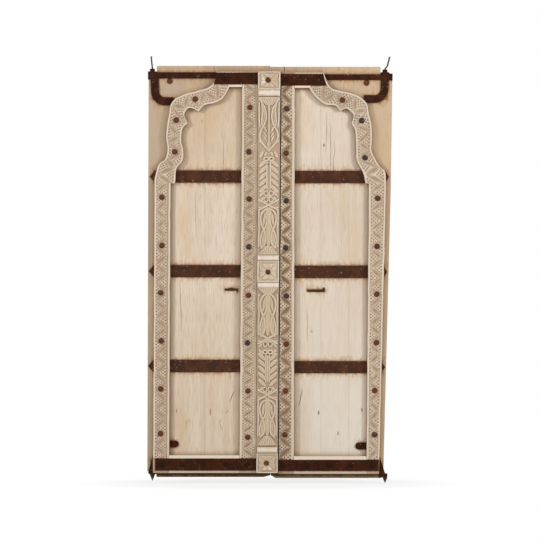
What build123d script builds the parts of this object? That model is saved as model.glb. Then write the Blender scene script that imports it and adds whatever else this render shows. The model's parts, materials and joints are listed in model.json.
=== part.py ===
from build123d import *
from math import asin, atan2, cos, degrees, hypot, radians, sin
import os

os.makedirs("parts", exist_ok=True)

# A pair of planked door leaves, in millimetres. x runs across the pair from the line
# where the leaves meet, z runs up from the foot of the left boards, and the boards'
# front face lies at y = 0. "Ahead" counts from that face towards the viewer.

# Boards
leaf_top = 1809
board_thick = 30
meeting_gap = 1.2
right_drop = 4          # the right leaf hangs this much lower
board_arris = 0.8
left_joints = (-288, -121)
right_joints = (222, 345)

# Applied frame
frame_low = 20
frame_margin = 27       # bare boards above the frame
arch_foot = 1291        # the arch brackets stand on the outer stiles here
stile_relief = 24
rail_relief = 20
band_sink = 2.4         # carved band below the raised edges
rebate_sink = 7         # plain strip beside the astragal, below the carved band
rail_lip = 9
swing_gap = 4           # between the astragal and the right inner stile

# Carved hollow leaves
leaf_pitch = 39.0
leaf_width = 16.0
cut_slope = 0.5         # depth of a hollow over half its width
nail_clear = 12

# Iron
strap_thick = 4
iron_thick = 5
hook_bend = 44
pin_radius = 3.5
spike_pin_radius = 6
running_clearance = 0.08
pivot_depth = 15        # pivot axis behind the boards' face
left_axis = -520
right_axis = 504
eye_radius = 20

# Nails
dome_radius = 13
dome_height = 9
shank = 6
flat_radius = 12
flat_height = 3
ledge_shank = 5
ledge_nail_bite = 12    # how far a ledge nail stands in the boards

# Ledges across the back
ledge_thick = 24
ledge_height = 92

# Astragal on the left leaf
astragal_relief = 36
block_relief = 40
collar_relief = 42
lap_clear = 0.2

frame_high = leaf_top - frame_margin
on_band = stile_relief - band_sink
on_strap = rail_relief + strap_thick

# Heights below are those of the measured door. These marks carry them to the named sizes.
measured_marks = (0, 1291, 1782, 1809)
carried_marks = (0, arch_foot, frame_high, leaf_top)


def level(z):
    """Height z of the measured door, at the sizes named above."""
    i = sum(z > mark for mark in measured_marks[1:3])
    share = (z - measured_marks[i]) / (measured_marks[i + 1] - measured_marks[i])
    return carried_marks[i] + (carried_marks[i + 1] - carried_marks[i]) * share


def at(points):
    return [(x, level(z)) for x, z in points]


def line(foot, head):
    """Straight edge: x at height z, from its x at the leaf's foot and head."""
    return lambda z: foot + (head - foot) * z / leaf_top


left_edge = line(-542, -536)
left_outer = (line(-516, -506), line(-446, -436))
left_inner = (line(-137, -123), line(-62, -54))
astragal_sides = (line(-62, -54), line(31, 44))
right_inner = (line(31 + swing_gap, 44 + swing_gap), line(102, 107))
right_outer = (line(421, 437), line(476, 520))
edge_knee = level(1262)
knee_x = 529


def right_edge(z):
    """Outer edge of the right leaf, which narrows more steeply below its upper third."""
    return knee_x + (z - edge_knee) * (0.0153 if z > edge_knee else 0.0262)


def save(part, name):
    part.label = name
    export_step(part, "parts/" + name + ".step")


def outline_on(points, ahead):
    """Closed outline of x, z points on the plane that lies ahead of the boards' face."""
    with BuildSketch(Plane.XZ.offset(ahead)) as face:
        with BuildLine():
            Polyline(*points, close=True)
        make_face()
    return face.sketch


def prism(points, back, front, mode=Mode.ADD):
    """Solid of one outline between two distances ahead of the boards' face."""
    extrude(outline_on(points, back), amount=front - back, mode=mode)


def upright(sides, low, high):
    """Four corners of a piece that runs between two straight edges."""
    return [(sides[0](low), low), (sides[1](low), low), (sides[1](high), high), (sides[0](high), high)]


def box(x0, x1, z0, z1):
    return [(x0, z0), (x1, z0), (x1, z1), (x0, z1)]


def cut_shanks(points, back, front, size=shank):
    """Square nail holes through a piece."""
    with BuildSketch(Plane.XZ.offset(back)) as holes:
        with Locations(*points):
            Rectangle(size, size)
    extrude(holes.sketch, amount=front - back, mode=Mode.SUBTRACT)


def hollow(length, width):
    """Cutter for one hollow leaf: a lens of six flat cuts that meet in a keel."""
    tip, shoulder, side = length / 2, length * 0.2, width / 2
    depth = side * cut_slope
    rim = [(-tip, 0, 0), (-shoulder, -side, 0), (shoulder, -side, 0),
           (tip, 0, 0), (shoulder, side, 0), (-shoulder, side, 0)]
    near, far = (-shoulder, 0, -depth), (shoulder, 0, -depth)
    cuts = [rim, [rim[0], rim[1], near], [rim[1], rim[2], far, near], [rim[2], rim[3], far],
            [rim[3], rim[4], far], [rim[4], rim[5], near, far], [rim[5], rim[0], near]]
    return Solid(Shell([Face(Wire.make_polygon(points)) for points in cuts]))


def carve(cuts, ahead):
    """Cut hollow leaves, each given by its x, z, length, width and lean in degrees."""
    face = Plane.XZ.offset(ahead).location
    add([face * Location((x, z, 0), (0, 0, lean)) * hollow(length, width)
         for x, z, length, width, lean in cuts], mode=Mode.SUBTRACT)


def zigzag(path, widths, nails, broad=leaf_width):
    """Hollow leaves that zigzag along a path; widths at its two ends, clear of the nails."""
    legs = [hypot(q[0] - p[0], q[1] - p[1]) for p, q in zip(path, path[1:])]
    count = int(sum(legs) / leaf_pitch)
    pitch = sum(legs) / count
    cuts = []
    for i in range(count):
        s, k = (i + 0.5) * pitch, 0
        width = widths[0] + (widths[1] - widths[0]) * (i + 0.5) / count
        while s > legs[k] and k < len(legs) - 1:
            s -= legs[k]
            k += 1
        (x0, z0), (x1, z1) = path[k], path[k + 1]
        x, z = x0 + (x1 - x0) * s / legs[k], z0 + (z1 - z0) * s / legs[k]
        turn = degrees(atan2(width, pitch)) * (1 if i % 2 else -1)
        if all(hypot(x - nail_x, z - nail_z) > nail_clear for nail_x, nail_z in nails):
            cuts.append((x, z, hypot(pitch, width) * 0.94, broad,
                         degrees(atan2(z1 - z0, x1 - x0)) + turn))
    return cuts


# Irons laid under the frame: outlines shared by the irons and by their housings.
def mid_strap(tip, root, end, height, half):
    """Strap with a pointed tip outside the outer stile."""
    z = level(height)
    return [(tip, z), (root, z - half), (end, z - half), (end, z + half), (root, z + half)]


left_mid = [mid_strap(-532, -510, -72, 1322, 26.5), mid_strap(-536, -515, -72, 906, 26.5),
            mid_strap(-539, -517, -72, 489, 27)]
right_mid = [mid_strap(522, 506, 62, 1320, 26.5), mid_strap(514, 497, 60, 903, 27),
             mid_strap(505, 486, 58, 484, 26)]

left_top_bar = at(box(left_axis, -236, 1754, 1780))
right_top_bar = at(box(236, 537, 1747, 1771))

# Hooks of the corner irons: bent line along the middle, width, and whether the end is round.
left_top_hook = (at([(-511, 1780), (-506, 1653), (-428, 1653)]), 35, False)
right_top_hook = (at([(504, 1771), (500, 1663), (412, 1663)]), 34, False)
left_foot_hook = (at([(-524, 13), (-490, 146), (-419, 146)]), 30, True)
right_foot_hook = (at([(494, 0), (448, 137), (388, 137)]), 30, True)


def hook(shape, mode=Mode.ADD):
    """Bar that bends once, lying on the boards."""
    path, width, round_end = shape
    with BuildSketch(Plane.XZ) as face:
        with BuildLine():
            FilletPolyline(*path, radius=hook_bend)
        trace(line_width=width)
        if round_end:
            with Locations(path[-1]):
                Circle(width / 2)
    extrude(face.sketch, amount=iron_thick, mode=mode)


# Nail places
left_outer_nails = at([(-477, 1231), (-477, 1019), (-482, 811), (-480, 600), (-482, 389), (-483, 193)])
left_inner_nails = at([(-90, 1625), (-95, 1430), (-94, 1223), (-95, 1013), (-97, 800), (-101, 591),
                    (-99, 380), (-100, 177)])
left_arch_nails = at([(-331, 1661), (-414, 1569), (-420, 1430)])
right_inner_nails = at([(71, 1619), (68, 1424), (69, 1215), (67, 1008), (69, 797), (69, 586), (66, 380), (63, 188)])
right_arch_nails = at([(316, 1657), (401, 1567), (415, 1404)])
right_outer_nails = at([(471, 1226), (468, 1015), (467, 805), (465, 592), (458, 382), (457, 188)])
left_board_nail, right_board_nail = at([(-443, 1741)]), at([(423, 1734)])
left_strap_nails = at([(-203, 1753), (-88, 1757), (-480, 57), (-389, 57), (-289, 57), (-196, 57), (-101, 57)])
right_strap_nails = at([(68, 1744), (214, 1749), (57, 53), (161, 53), (256, 53), (356, 53), (448, 53)])
astragal_nails_at = at([(-11, 1744), (-11, 902), (-18, 64)])

# Arch brackets: each station pairs a point of the inner edge with one of the outer edge.
left_stations = [at(pair) for pair in (
    ((-180, 1715), (-236, 1782)), ((-209, 1666), (-250, 1734)), ((-245, 1645), (-274, 1712)),
    ((-289, 1635), (-307, 1702)), ((-316, 1607), (-338, 1693)), ((-340, 1620), (-362, 1688)),
    ((-358, 1622), (-391, 1677)), ((-374, 1607), (-419, 1662)), ((-378, 1586), (-439, 1635)),
    ((-363, 1555), (-446, 1589)), ((-387, 1531), (-453, 1553)), ((-392, 1476), (-458, 1494)),
    ((-384, 1440), (-452, 1444)), ((-386, 1393), (-461, 1400)), ((-413, 1356), (-490, 1374)),
    ((-418, 1306), (-508, 1315)), ((-421, 1291), (-509, 1291)))]
right_stations = [at(pair) for pair in (
    ((170, 1711), (233, 1778)), ((195, 1674), (249, 1736)), ((240, 1639), (268, 1710)),
    ((284, 1633), (303, 1698)), ((307, 1609), (336, 1691)), ((324, 1618), (358, 1685)),
    ((337, 1619), (382, 1677)), ((362, 1597), (408, 1659)), ((364, 1580), (424, 1638)),
    ((356, 1554), (432, 1596)), ((372, 1523), (443, 1548)), ((376, 1471), (445, 1486)),
    ((377, 1433), (443, 1438)), ((378, 1397), (457, 1403)), ((391, 1368), (480, 1365)),
    ((407, 1337), (503, 1343)), ((418, 1291), (507, 1291)))]
inner_cusps = (4, 9)
outer_cusps = (15,)


def between(stations, share):
    """Points through the stations at a share of the way from inner to outer edge."""
    return [(a[0] + (b[0] - a[0]) * share, a[1] + (b[1] - a[1]) * share) for a, b in stations]


def curved_edge(points, cusps):
    """Smooth curves through the points, broken at the cusps."""
    ends = (0, *cusps, len(points) - 1)
    for first, last in zip(ends, ends[1:]):
        if last - first > 1:
            Spline(*points[first:last + 1])
        else:
            Line(points[first], points[last])


def arch_outline(stations, ahead, near=0.0, far=1.0):
    """Outline of the bracket, or of its band between two shares of its width."""
    inner, outer = between(stations, near), between(stations, far)
    with BuildSketch(Plane.XZ.offset(ahead)) as face:
        with BuildLine():
            curved_edge(inner, inner_cusps)
            Line(inner[-1], outer[-1])
            curved_edge(outer, outer_cusps)
            Line(outer[0], inner[0])
        make_face()
    return face.sketch


def plank(name, points, nails, ledge_nails):
    """One upright board with its eased front arrises and its nail holes."""
    with BuildPart() as board:
        prism(points, -board_thick, 0)
        chamfer(board.edges().filter_by(Axis.Z).group_by(Axis.Y)[0], board_arris)
        if nails:
            cut_shanks(nails, -board_thick, 0)
        if ledge_nails:
            cut_shanks(ledge_nails, -board_thick, ledge_nail_bite - board_thick, ledge_shank)
    save(board.part, name)


def within(points, low, high):
    return [p for p in points if low - 4 < p[0] < high + 4]


def ledge_nail_points(x0, x1, drop):
    step = (x1 - x0 - 80) / 4
    return [(x0 + 40 + step * i, height - drop + (14 if i % 2 else -14))
            for height in ledge_levels for i in range(5)]


ledge_levels = [level(z) for z in (486, 905, 1320)]
left_ledge = (-470, -22)
right_ledge = (22, 440)
left_ledge_nails_at = ledge_nail_points(*left_ledge, 0)
right_ledge_nails_at = ledge_nail_points(*right_ledge, right_drop)
left_all = (left_outer_nails + left_inner_nails + left_arch_nails + left_board_nail + left_strap_nails
            + astragal_nails_at)
right_all = right_outer_nails + right_inner_nails + right_arch_nails + right_board_nail + right_strap_nails

# Heights shared by the boards' cut corners and the irons that fill them
left_eye, left_eye_top, left_cap = level(1749), level(1785), level(1797)
right_eye, right_eye_top, right_cap = level(1745), level(1781), level(1793)
left_shoe, left_shoe_top = level(13), level(25)
right_shoe, right_shoe_top = level(0), level(14)
worn_foot = level(8)    # the boards are worn away where the leaves meet

# Left boards: the outer one is cut away at both outer corners for the irons.
half_gap = meeting_gap / 2
joint_a, joint_b = left_joints
plank("left_plank_outer",
      [(joint_a, 0), (joint_a, leaf_top), (left_axis + eye_radius, leaf_top),
       (left_axis + eye_radius, left_eye), (left_edge(left_eye), left_eye),
       (left_edge(left_shoe_top), left_shoe_top), (left_axis + 18, left_shoe_top), (left_axis + 18, 0)],
      within(left_all, -560, joint_a), within(left_ledge_nails_at, -560, joint_a))
plank("left_plank_middle", box(joint_a, joint_b, 0, leaf_top),
      within(left_all, joint_a, joint_b), within(left_ledge_nails_at, joint_a, joint_b))
plank("left_plank_meeting",
      [(joint_b, 0), (joint_b, leaf_top), (-half_gap, leaf_top), (-half_gap, worn_foot), (-30, 0)],
      within(left_all, joint_b, 0), within(left_ledge_nails_at, joint_b, 0))

# Right boards
joint_c, joint_d = right_joints
foot, head = -right_drop, leaf_top - right_drop
plank("right_plank_meeting",
      [(half_gap, worn_foot), (half_gap, head), (joint_c, head), (joint_c, foot), (22, foot)],
      within(right_all, 0, joint_c), within(right_ledge_nails_at, 0, joint_c))
plank("right_plank_middle", box(joint_c, joint_d, foot, head),
      within(right_all, joint_c, joint_d), within(right_ledge_nails_at, joint_c, joint_d))
plank("right_plank_outer",
      [(joint_d, foot), (joint_d, head), (right_axis - eye_radius, head), (right_axis - eye_radius, right_eye),
       (right_edge(right_eye), right_eye), (knee_x, edge_knee), (right_edge(right_shoe_top), right_shoe_top),
       (right_axis - 24, right_shoe_top), (right_axis - 24, foot)],
      within(right_all, joint_d, 560), within(right_ledge_nails_at, joint_d, 560))


def stile(name, sides, span, carved, raised, plain, nails, straps, hooks=(), broad=leaf_width):
    """Upright of the frame.

    span is its foot and head, carved the heights between the straps that cross its face.
    raised gives the widths of the raised edges left and right, or less than nothing for a
    sunk strip; plain gives the widths that the hollow leaves keep clear.
    """
    left, right = sides
    carved_low, carved_high = carved
    with BuildPart() as piece:
        prism(upright(sides, *span), 0, stile_relief)
        band = (lambda z: left(z) + raised[0], lambda z: right(z) - max(raised[1], 0))
        prism(upright(band, *span), on_band, stile_relief, Mode.SUBTRACT)
        if raised[1] < 0:
            strip = (lambda z: right(z) + raised[1], right)
            prism(upright(strip, *span), on_band - rebate_sink, on_band, Mode.SUBTRACT)
        path = [((left(z) + plain[0] + right(z) - plain[1]) / 2, z) for z in carved]
        widths = [right(z) - left(z) - plain[0] - plain[1] - 4 for z in carved]
        carve(zigzag(path, widths, nails, broad), on_band)
        prism(upright(sides, span[0], carved_low), rail_relief, stile_relief, Mode.SUBTRACT)
        if carved_high < span[1]:
            prism(upright(sides, carved_high, span[1]), rail_relief, stile_relief, Mode.SUBTRACT)
        for points in straps:
            prism(points, 0, strap_thick, Mode.SUBTRACT)
        for shape in hooks:
            hook(shape, Mode.SUBTRACT)
        cut_shanks(nails, 0, stile_relief)
    save(piece.part, name)


left_top_strap = (level(1726), level(1778))
left_bottom_strap = (level(30), level(84))
right_top_strap = (level(1720), level(1772))
right_bottom_strap = (level(28), level(78))
left_top_strap_shape = ([(-239, left_top_strap[1]), (-248, left_top_strap[0])]
                        + upright(left_inner, *left_top_strap)[1:3])
right_top_strap_shape = ([(246, right_top_strap[0]), (232, right_top_strap[1])]
                         + [upright(right_inner, *right_top_strap)[i] for i in (3, 0)])

right_low, right_high = frame_low - right_drop, frame_high - right_drop
stile("left_outer_stile", left_outer, (frame_low, arch_foot), (left_bottom_strap[1], arch_foot), (8, 9), (10, 18),
      left_outer_nails + left_strap_nails[2:3], left_mid, [left_foot_hook])
stile("left_inner_stile", left_inner, (frame_low, frame_high), (left_bottom_strap[1], left_top_strap[0]),
      (10, -12), (12, 14), left_inner_nails + [left_strap_nails[1], left_strap_nails[6]], left_mid)
stile("right_inner_stile", right_inner, (right_low, right_high), (right_bottom_strap[1], right_top_strap[0]),
      (0, 12), (2, 14), right_inner_nails + [right_strap_nails[0], right_strap_nails[2]], right_mid, broad=20)
stile("right_outer_stile", right_outer, (right_low, arch_foot), (right_bottom_strap[1], arch_foot), (9, 9),
      (10, 10), right_outer_nails + right_strap_nails[6:7], right_mid, [right_foot_hook])


def arch_bracket(name, stations, nails, strap_nails, mid, bar, bent, top_strap):
    """Cusped bracket that closes the upper outer corner of the panel."""
    with BuildPart() as piece:
        extrude(arch_outline(stations, 0), amount=stile_relief)
        extrude(arch_outline(stations, stile_relief, 0.12, 0.88), amount=-band_sink, mode=Mode.SUBTRACT)
        carve(zigzag(between(stations, 0.5), (38, 38), nails), on_band)
        prism(mid, 0, strap_thick, Mode.SUBTRACT)
        prism(bar, 0, iron_thick, Mode.SUBTRACT)
        hook(bent, Mode.SUBTRACT)
        prism(top_strap, rail_relief, stile_relief, Mode.SUBTRACT)
        cut_shanks(nails + strap_nails, 0, stile_relief)
    save(piece.part, name)


arch_bracket("left_arch_bracket", left_stations, left_arch_nails, left_strap_nails[0:1], left_mid[0],
             left_top_bar, left_top_hook, left_top_strap_shape)
arch_bracket("right_arch_bracket", right_stations, right_arch_nails, right_strap_nails[1:2], right_mid[0],
             right_top_bar, right_top_hook, right_top_strap_shape)


def rail(name, points, lip, nails):
    """Cross piece with a raised lip towards the panel."""
    with BuildPart() as piece:
        prism(points, 0, rail_relief)
        prism(lip, rail_relief, stile_relief)
        cut_shanks(nails, 0, rail_relief)
    save(piece.part, name)


left_rail_low, right_rail_low = level(1715), level(1711)
left_lip, right_lip = left_rail_low + rail_lip, right_rail_low + rail_lip
rail("left_top_rail",
     [(-236, frame_high), (-180, left_rail_low), (left_inner[0](left_rail_low), left_rail_low),
      (left_inner[0](frame_high), frame_high)],
     [(-187, left_lip), (-180, left_rail_low), (left_inner[0](left_rail_low), left_rail_low),
      (left_inner[0](left_lip), left_lip)], left_strap_nails[0:1])
rail("right_top_rail",
     [(233, right_high), (170, right_rail_low), (right_inner[1](right_rail_low), right_rail_low),
      (right_inner[1](right_high), right_high)],
     [(178, right_lip), (170, right_rail_low), (right_inner[1](right_rail_low), right_rail_low),
      (right_inner[1](right_lip), right_lip)], right_strap_nails[1:2])
left_rail_high, right_rail_high = level(97), level(93)
rail("left_bottom_rail", upright((left_outer[1], left_inner[0]), frame_low, left_rail_high),
     upright((left_outer[1], left_inner[0]), left_bottom_strap[1], left_rail_high), left_strap_nails[3:6])
rail("right_bottom_rail", upright((right_inner[1], right_outer[0]), right_low, right_rail_high),
     upright((right_inner[1], right_outer[0]), right_bottom_strap[1], right_rail_high),
     right_strap_nails[3:6])


def strap(name, points, back, nails=()):
    with BuildPart() as piece:
        prism(points, back, back + strap_thick)
        if nails:
            cut_shanks(nails, back, back + strap_thick)
    save(piece.part, name)


for leaf, straps in (("left", left_mid), ("right", right_mid)):
    for height, points in zip(("upper", "middle", "lower"), straps):
        strap(leaf + "_strap_" + height, points, 0)

strap("left_top_strap", left_top_strap_shape, rail_relief, left_strap_nails[0:2])
strap("right_top_strap", right_top_strap_shape, rail_relief, right_strap_nails[0:2])
strap("left_bottom_strap", upright((lambda z: -507, left_inner[1]), *left_bottom_strap), rail_relief,
      left_strap_nails[2:])
strap("right_bottom_strap", upright((right_inner[0], lambda z: 476), *right_bottom_strap), rail_relief,
      right_strap_nails[2:])


def turned(axis, radius, low, high, mode=Mode.ADD):
    """Upright cylinder about a pivot axis."""
    with BuildSketch(Plane.XY.offset(low)) as disc:
        with Locations((axis, pivot_depth)):
            Circle(radius)
    extrude(disc.sketch, amount=high - low, mode=mode)


def corner_iron_top(name, axis, bar, bent, back_bar, eye_low, eye_high, cap_high, wrap=None):
    """Strap forged round the leaf's edge, with an eye for the upper pivot pin."""
    with BuildPart() as iron:
        turned(axis, eye_radius, eye_low, eye_high)
        turned(axis, 11, eye_high, cap_high)
        prism(bar, 0, iron_thick)
        hook(bent)
        prism(back_bar, -board_thick - iron_thick, -board_thick)
        if wrap:
            prism(wrap, -board_thick - iron_thick, iron_thick)
        turned(axis, pin_radius + running_clearance, eye_low, cap_high, Mode.SUBTRACT)
    save(iron.part, name)


corner_iron_top("left_top_iron", left_axis, left_top_bar, left_top_hook, at(box(left_axis, -262, 1754, 1780)),
                left_eye, left_eye_top, left_cap)
corner_iron_top("right_top_iron", right_axis, right_top_bar, right_top_hook,
                at(box(262, right_axis, 1747, 1771)), right_eye, right_eye_top, right_cap,
                at(box(right_axis, 537, 1745, 1775)))


def corner_iron_foot(name, axis, bent, x0, x1, z0, z1, back_plate):
    """Hooked iron under the lower corner, bored for the foot spike's pin."""
    with BuildPart() as iron:
        prism(box(x0, x1, z0, z1), -board_thick - iron_thick, 0)
        hook(bent)
        prism(back_plate, -board_thick - iron_thick, -board_thick)
        turned(axis, spike_pin_radius + running_clearance, z0, z1 - 2, Mode.SUBTRACT)
    save(iron.part, name)


corner_iron_foot("left_foot_iron", left_axis, left_foot_hook, -536, left_axis + 18, left_shoe, left_shoe_top,
                 box(-536, left_axis + 18, left_shoe, level(110)))
corner_iron_foot("right_foot_iron", right_axis, right_foot_hook, right_axis - 24, 514, right_shoe,
                 right_shoe_top, box(right_axis - 24, 496, right_shoe, level(100)))


def top_pin(name, axis, low, bends):
    """Thin upper pivot pin, straight in its eye and bent above it."""
    with BuildPart() as pin:
        with BuildLine():
            Polyline(*[(x, pivot_depth, z) for x, z in [(axis, low)] + bends])
        with BuildSketch(Plane.XY.offset(low)):
            with Locations((axis, pivot_depth)):
                Circle(pin_radius)
        sweep(transition=Transition.ROUND)
    save(pin.part, name)


top_pin("left_top_pin", left_axis, left_eye + 7, at([(left_axis, 1800), (-523, 1824), (-525, 1852)]))
top_pin("right_top_pin", right_axis, right_eye + 7, at([(right_axis, 1796), (515, 1810), (525, 1850)]))


def foot_spike(name, axis, seat, top_high, radius, length):
    """Pointed lower pivot: a plain pin above the seat, a tapered spike below it."""
    with BuildPart() as spike:
        with BuildSketch(Plane.XZ.offset(-pivot_depth)):
            with BuildLine():
                Polyline((axis, seat - length), (axis + radius, seat - 6), (axis + radius, seat),
                         (axis + spike_pin_radius, seat), (axis + spike_pin_radius, top_high),
                         (axis, top_high), close=True)
            make_face()
        revolve(axis=Axis((axis, pivot_depth, 0), (0, 0, 1)))
    save(spike.part, name)


foot_spike("left_foot_spike", left_axis, left_shoe, left_shoe_top - 3, 11, 31)
foot_spike("right_foot_spike", right_axis, right_shoe, right_shoe_top - 3, 10, 28)


# Carving of the astragal, as hollow leaves about its middle line
def middle(z):
    return (astragal_sides[0](z) + astragal_sides[1](z)) / 2


def pair(out, z, length, width, lean):
    """Two mirrored hollows at a distance out from the middle line."""
    x = middle(z)
    return [(x - out, z, length, width, 180 - lean), (x + out, z, length, width, lean)]


def rosette(x, z):
    """Eight petals round a nail."""
    return [(x + 30 * cos(radians(turn)), z + 30 * sin(radians(turn)), 30 if turn % 90 else 25, 13, turn)
            for turn in range(0, 360, 45)]


def fan(low, high):
    """Row of upright flutes."""
    z = (low + high) / 2
    return [(middle(z) + out, z, high - low - 4, 9, 90) for out in range(-36, 37, 12)]


def feathers(low, high, lean):
    """Herringbone of slanting leaves either side of a long hollow."""
    rows = round((high - low) / 21)
    step = (high - low) / rows
    cuts = [(middle(low), (low + high) / 2, high - low - 24, 9, 90)]
    for i in range(rows):
        cuts += pair(24, low + step * (i + 0.5), 46, 11, lean)
    return cuts


def ovals(low, high):
    """Two stacked pairs of oval hollows beside a plain spine."""
    half = (high - low) / 2
    return [cut for i in range(2) for cut in pair(26, low + half * (i + 0.5), half - 8, 20, 90)]


def cross(z):
    """Crossed leaves, with a dot-like hollow on both sides."""
    x = middle(z)
    return [(x, z, 58, 9, 38), (x, z, 58, 9, -38)] + pair(34, z, 16, 10, 90)


def curls(z):
    return pair(17, z, 24, 14, 65)


upper_shaft = (pair(13, level(1570), 176, 12, 88) + pair(33, level(1600), 120, 12, 96)
               + pair(35, level(1503), 56, 12, 70) + cross(level(1448)) + curls(level(1412))
               + feathers(level(1262), level(1394), 58) + curls(level(1235)) + cross(level(1198))
               + ovals(level(1012), level(1176)) + fan(level(979), level(1008)))
lower_shaft = (fan(level(806), level(830)) + ovals(level(630), level(802)) + cross(level(606))
               + curls(level(574)) + feathers(level(404), level(545), -58) + curls(level(381))
               + cross(level(358)) + ovals(level(184), level(336)) + fan(level(140), level(176)))
blocks = ((level(1704), frame_high), (level(858), level(950)), (frame_low, level(107)))
collars = ((level(1674), level(1704)), (level(951), level(977)), (level(832), level(857)),
           (level(108), level(136)))
collar = (lambda z: astragal_sides[0](z) + 4, lambda z: astragal_sides[1](z) - 4)

with BuildPart() as astragal:
    prism(upright(astragal_sides, frame_low, frame_high), 0, astragal_relief)
    for low, high in blocks:
        prism(upright(astragal_sides, low, high), astragal_relief, block_relief)
    for low, high in collars:
        prism(upright(collar, low, high), astragal_relief, collar_relief)
    prism(box(0, 60, frame_low - 10, frame_high + 10), 0, lap_clear, Mode.SUBTRACT)
    carve(upper_shaft + lower_shaft, astragal_relief)
    for nail_x, nail_z in astragal_nails_at:
        carve(rosette(nail_x, nail_z), block_relief)
    cut_shanks(astragal_nails_at, 0, block_relief)
save(astragal.part, "astragal")


def dome_head(radius, height):
    """Nail head, a cap of a ball, that stands out along y from the origin."""
    ball = (radius ** 2 + height ** 2) / (2 * height)
    half = asin(radius / ball) / 2
    with BuildPart() as nail_head:
        with BuildSketch(Plane.XY):
            with BuildLine():
                Line((0, 0), (radius, 0))
                ThreePointArc((radius, 0), (ball * sin(half), height - ball + ball * cos(half)), (0, height))
                Line((0, height), (0, 0))
            make_face()
        revolve(axis=Axis.Y)
    return nail_head.part


def nails(name, groups, head_shape):
    """Group of nails; each entry gives points and the distance ahead that the head sits on."""
    with BuildPart() as group:
        for points, seat in groups:
            with BuildSketch(Plane.XZ.offset(-board_thick)) as shanks:
                with Locations(*points):
                    Rectangle(shank, shank)
            extrude(shanks.sketch, amount=board_thick + seat)
            with Locations(*[Location((x, -seat, z), (0, 0, 180)) for x, z in points]):
                add(head_shape)
    save(group.part, name)


dome = dome_head(dome_radius, dome_height)
flat = dome_head(flat_radius, flat_height)
nails("left_dome_nails", [(left_outer_nails + left_inner_nails + left_arch_nails, on_band),
                          (left_board_nail, 0)], dome)
nails("right_dome_nails", [(right_outer_nails + right_inner_nails + right_arch_nails, on_band),
                           (right_board_nail, 0)], dome)
nails("astragal_nails", [(astragal_nails_at, block_relief)], dome)
nails("left_strap_nails", [(left_strap_nails, on_strap)], flat)
nails("right_strap_nails", [(right_strap_nails, on_strap)], flat)


def ledge(name, span, height, points):
    """Cross ledge on the back of the boards."""
    with BuildPart() as piece:
        prism(box(*span, height - ledge_height / 2, height + ledge_height / 2), -board_thick - ledge_thick,
              -board_thick)
        cut_shanks(points, -board_thick - ledge_thick, -board_thick, ledge_shank)
    save(piece.part, name)


for leaf, span, drop, points in (("left", left_ledge, 0, left_ledge_nails_at),
                                 ("right", right_ledge, right_drop, right_ledge_nails_at)):
    for i, place in enumerate(("lower", "middle", "upper")):
        ledge(leaf + "_ledge_" + place, span, ledge_levels[i] - drop, points[i * 5:i * 5 + 5])
    with BuildPart() as group:
        with BuildSketch(Plane.XZ.offset(-board_thick - ledge_thick)) as shanks:
            with Locations(*points):
                Rectangle(ledge_shank, ledge_shank)
        extrude(shanks.sketch, amount=ledge_thick + ledge_nail_bite)
        with BuildSketch(Plane.XZ.offset(-board_thick - ledge_thick)) as heads:
            with Locations(*points):
                Rectangle(14, 14)
        extrude(heads.sketch, amount=-4, taper=35)
    save(group.part, leaf + "_ledge_nails")


def staple(name, points):
    """Remains of the latch: a flat iron on the boards."""
    with BuildPart() as piece:
        prism(points, 0, strap_thick)
    save(piece.part, name)


staple("left_latch_staple", at([(-201, 820), (-201, 829), (-182, 830), (-178, 834), (-168, 834), (-164, 830),
                                (-144, 829), (-144, 811), (-149, 811), (-149, 820)]))
staple("right_latch_staple", at([(161, 815), (161, 824), (229, 826), (232, 834), (239, 834), (239, 814)]))
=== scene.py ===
import json
import math

import bpy
import numpy as np
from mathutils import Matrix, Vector

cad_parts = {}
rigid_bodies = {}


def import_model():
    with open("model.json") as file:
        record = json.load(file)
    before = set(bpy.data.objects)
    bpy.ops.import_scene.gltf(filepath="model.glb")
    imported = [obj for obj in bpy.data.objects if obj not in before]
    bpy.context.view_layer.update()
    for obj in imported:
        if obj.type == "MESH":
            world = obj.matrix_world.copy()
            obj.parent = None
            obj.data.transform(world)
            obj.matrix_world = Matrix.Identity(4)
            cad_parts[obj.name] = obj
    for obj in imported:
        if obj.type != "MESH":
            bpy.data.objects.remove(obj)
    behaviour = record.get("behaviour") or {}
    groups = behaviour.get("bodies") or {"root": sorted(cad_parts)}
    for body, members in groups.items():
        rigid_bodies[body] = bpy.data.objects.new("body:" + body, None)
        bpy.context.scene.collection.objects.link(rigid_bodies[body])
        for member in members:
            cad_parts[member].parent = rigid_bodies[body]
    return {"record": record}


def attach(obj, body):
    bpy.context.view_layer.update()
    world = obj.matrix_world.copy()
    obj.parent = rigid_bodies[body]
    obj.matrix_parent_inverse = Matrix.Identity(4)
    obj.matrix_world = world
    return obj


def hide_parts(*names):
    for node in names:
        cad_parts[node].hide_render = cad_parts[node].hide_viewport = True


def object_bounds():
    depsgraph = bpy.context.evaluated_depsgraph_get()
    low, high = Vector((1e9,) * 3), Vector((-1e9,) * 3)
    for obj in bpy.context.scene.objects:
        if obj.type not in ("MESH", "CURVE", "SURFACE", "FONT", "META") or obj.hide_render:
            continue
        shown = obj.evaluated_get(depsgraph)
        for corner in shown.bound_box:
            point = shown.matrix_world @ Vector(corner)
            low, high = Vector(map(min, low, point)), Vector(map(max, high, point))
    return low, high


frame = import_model()
cad_box = [list(corner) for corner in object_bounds()]

MM = 0.001

# Sizes in millimetres, in the frame of the CAD: x across, z up, "ahead" towards the viewer.
LEAF_TOP = 1809
STILE_RELIEF = 24
RAIL_RELIEF = 20
STRAP_THICK = 4
ARCH_FOOT = 1291
LEFT_HEAD, RIGHT_HEAD = 1782, 1778
ON_BAND = 21.6

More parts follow.
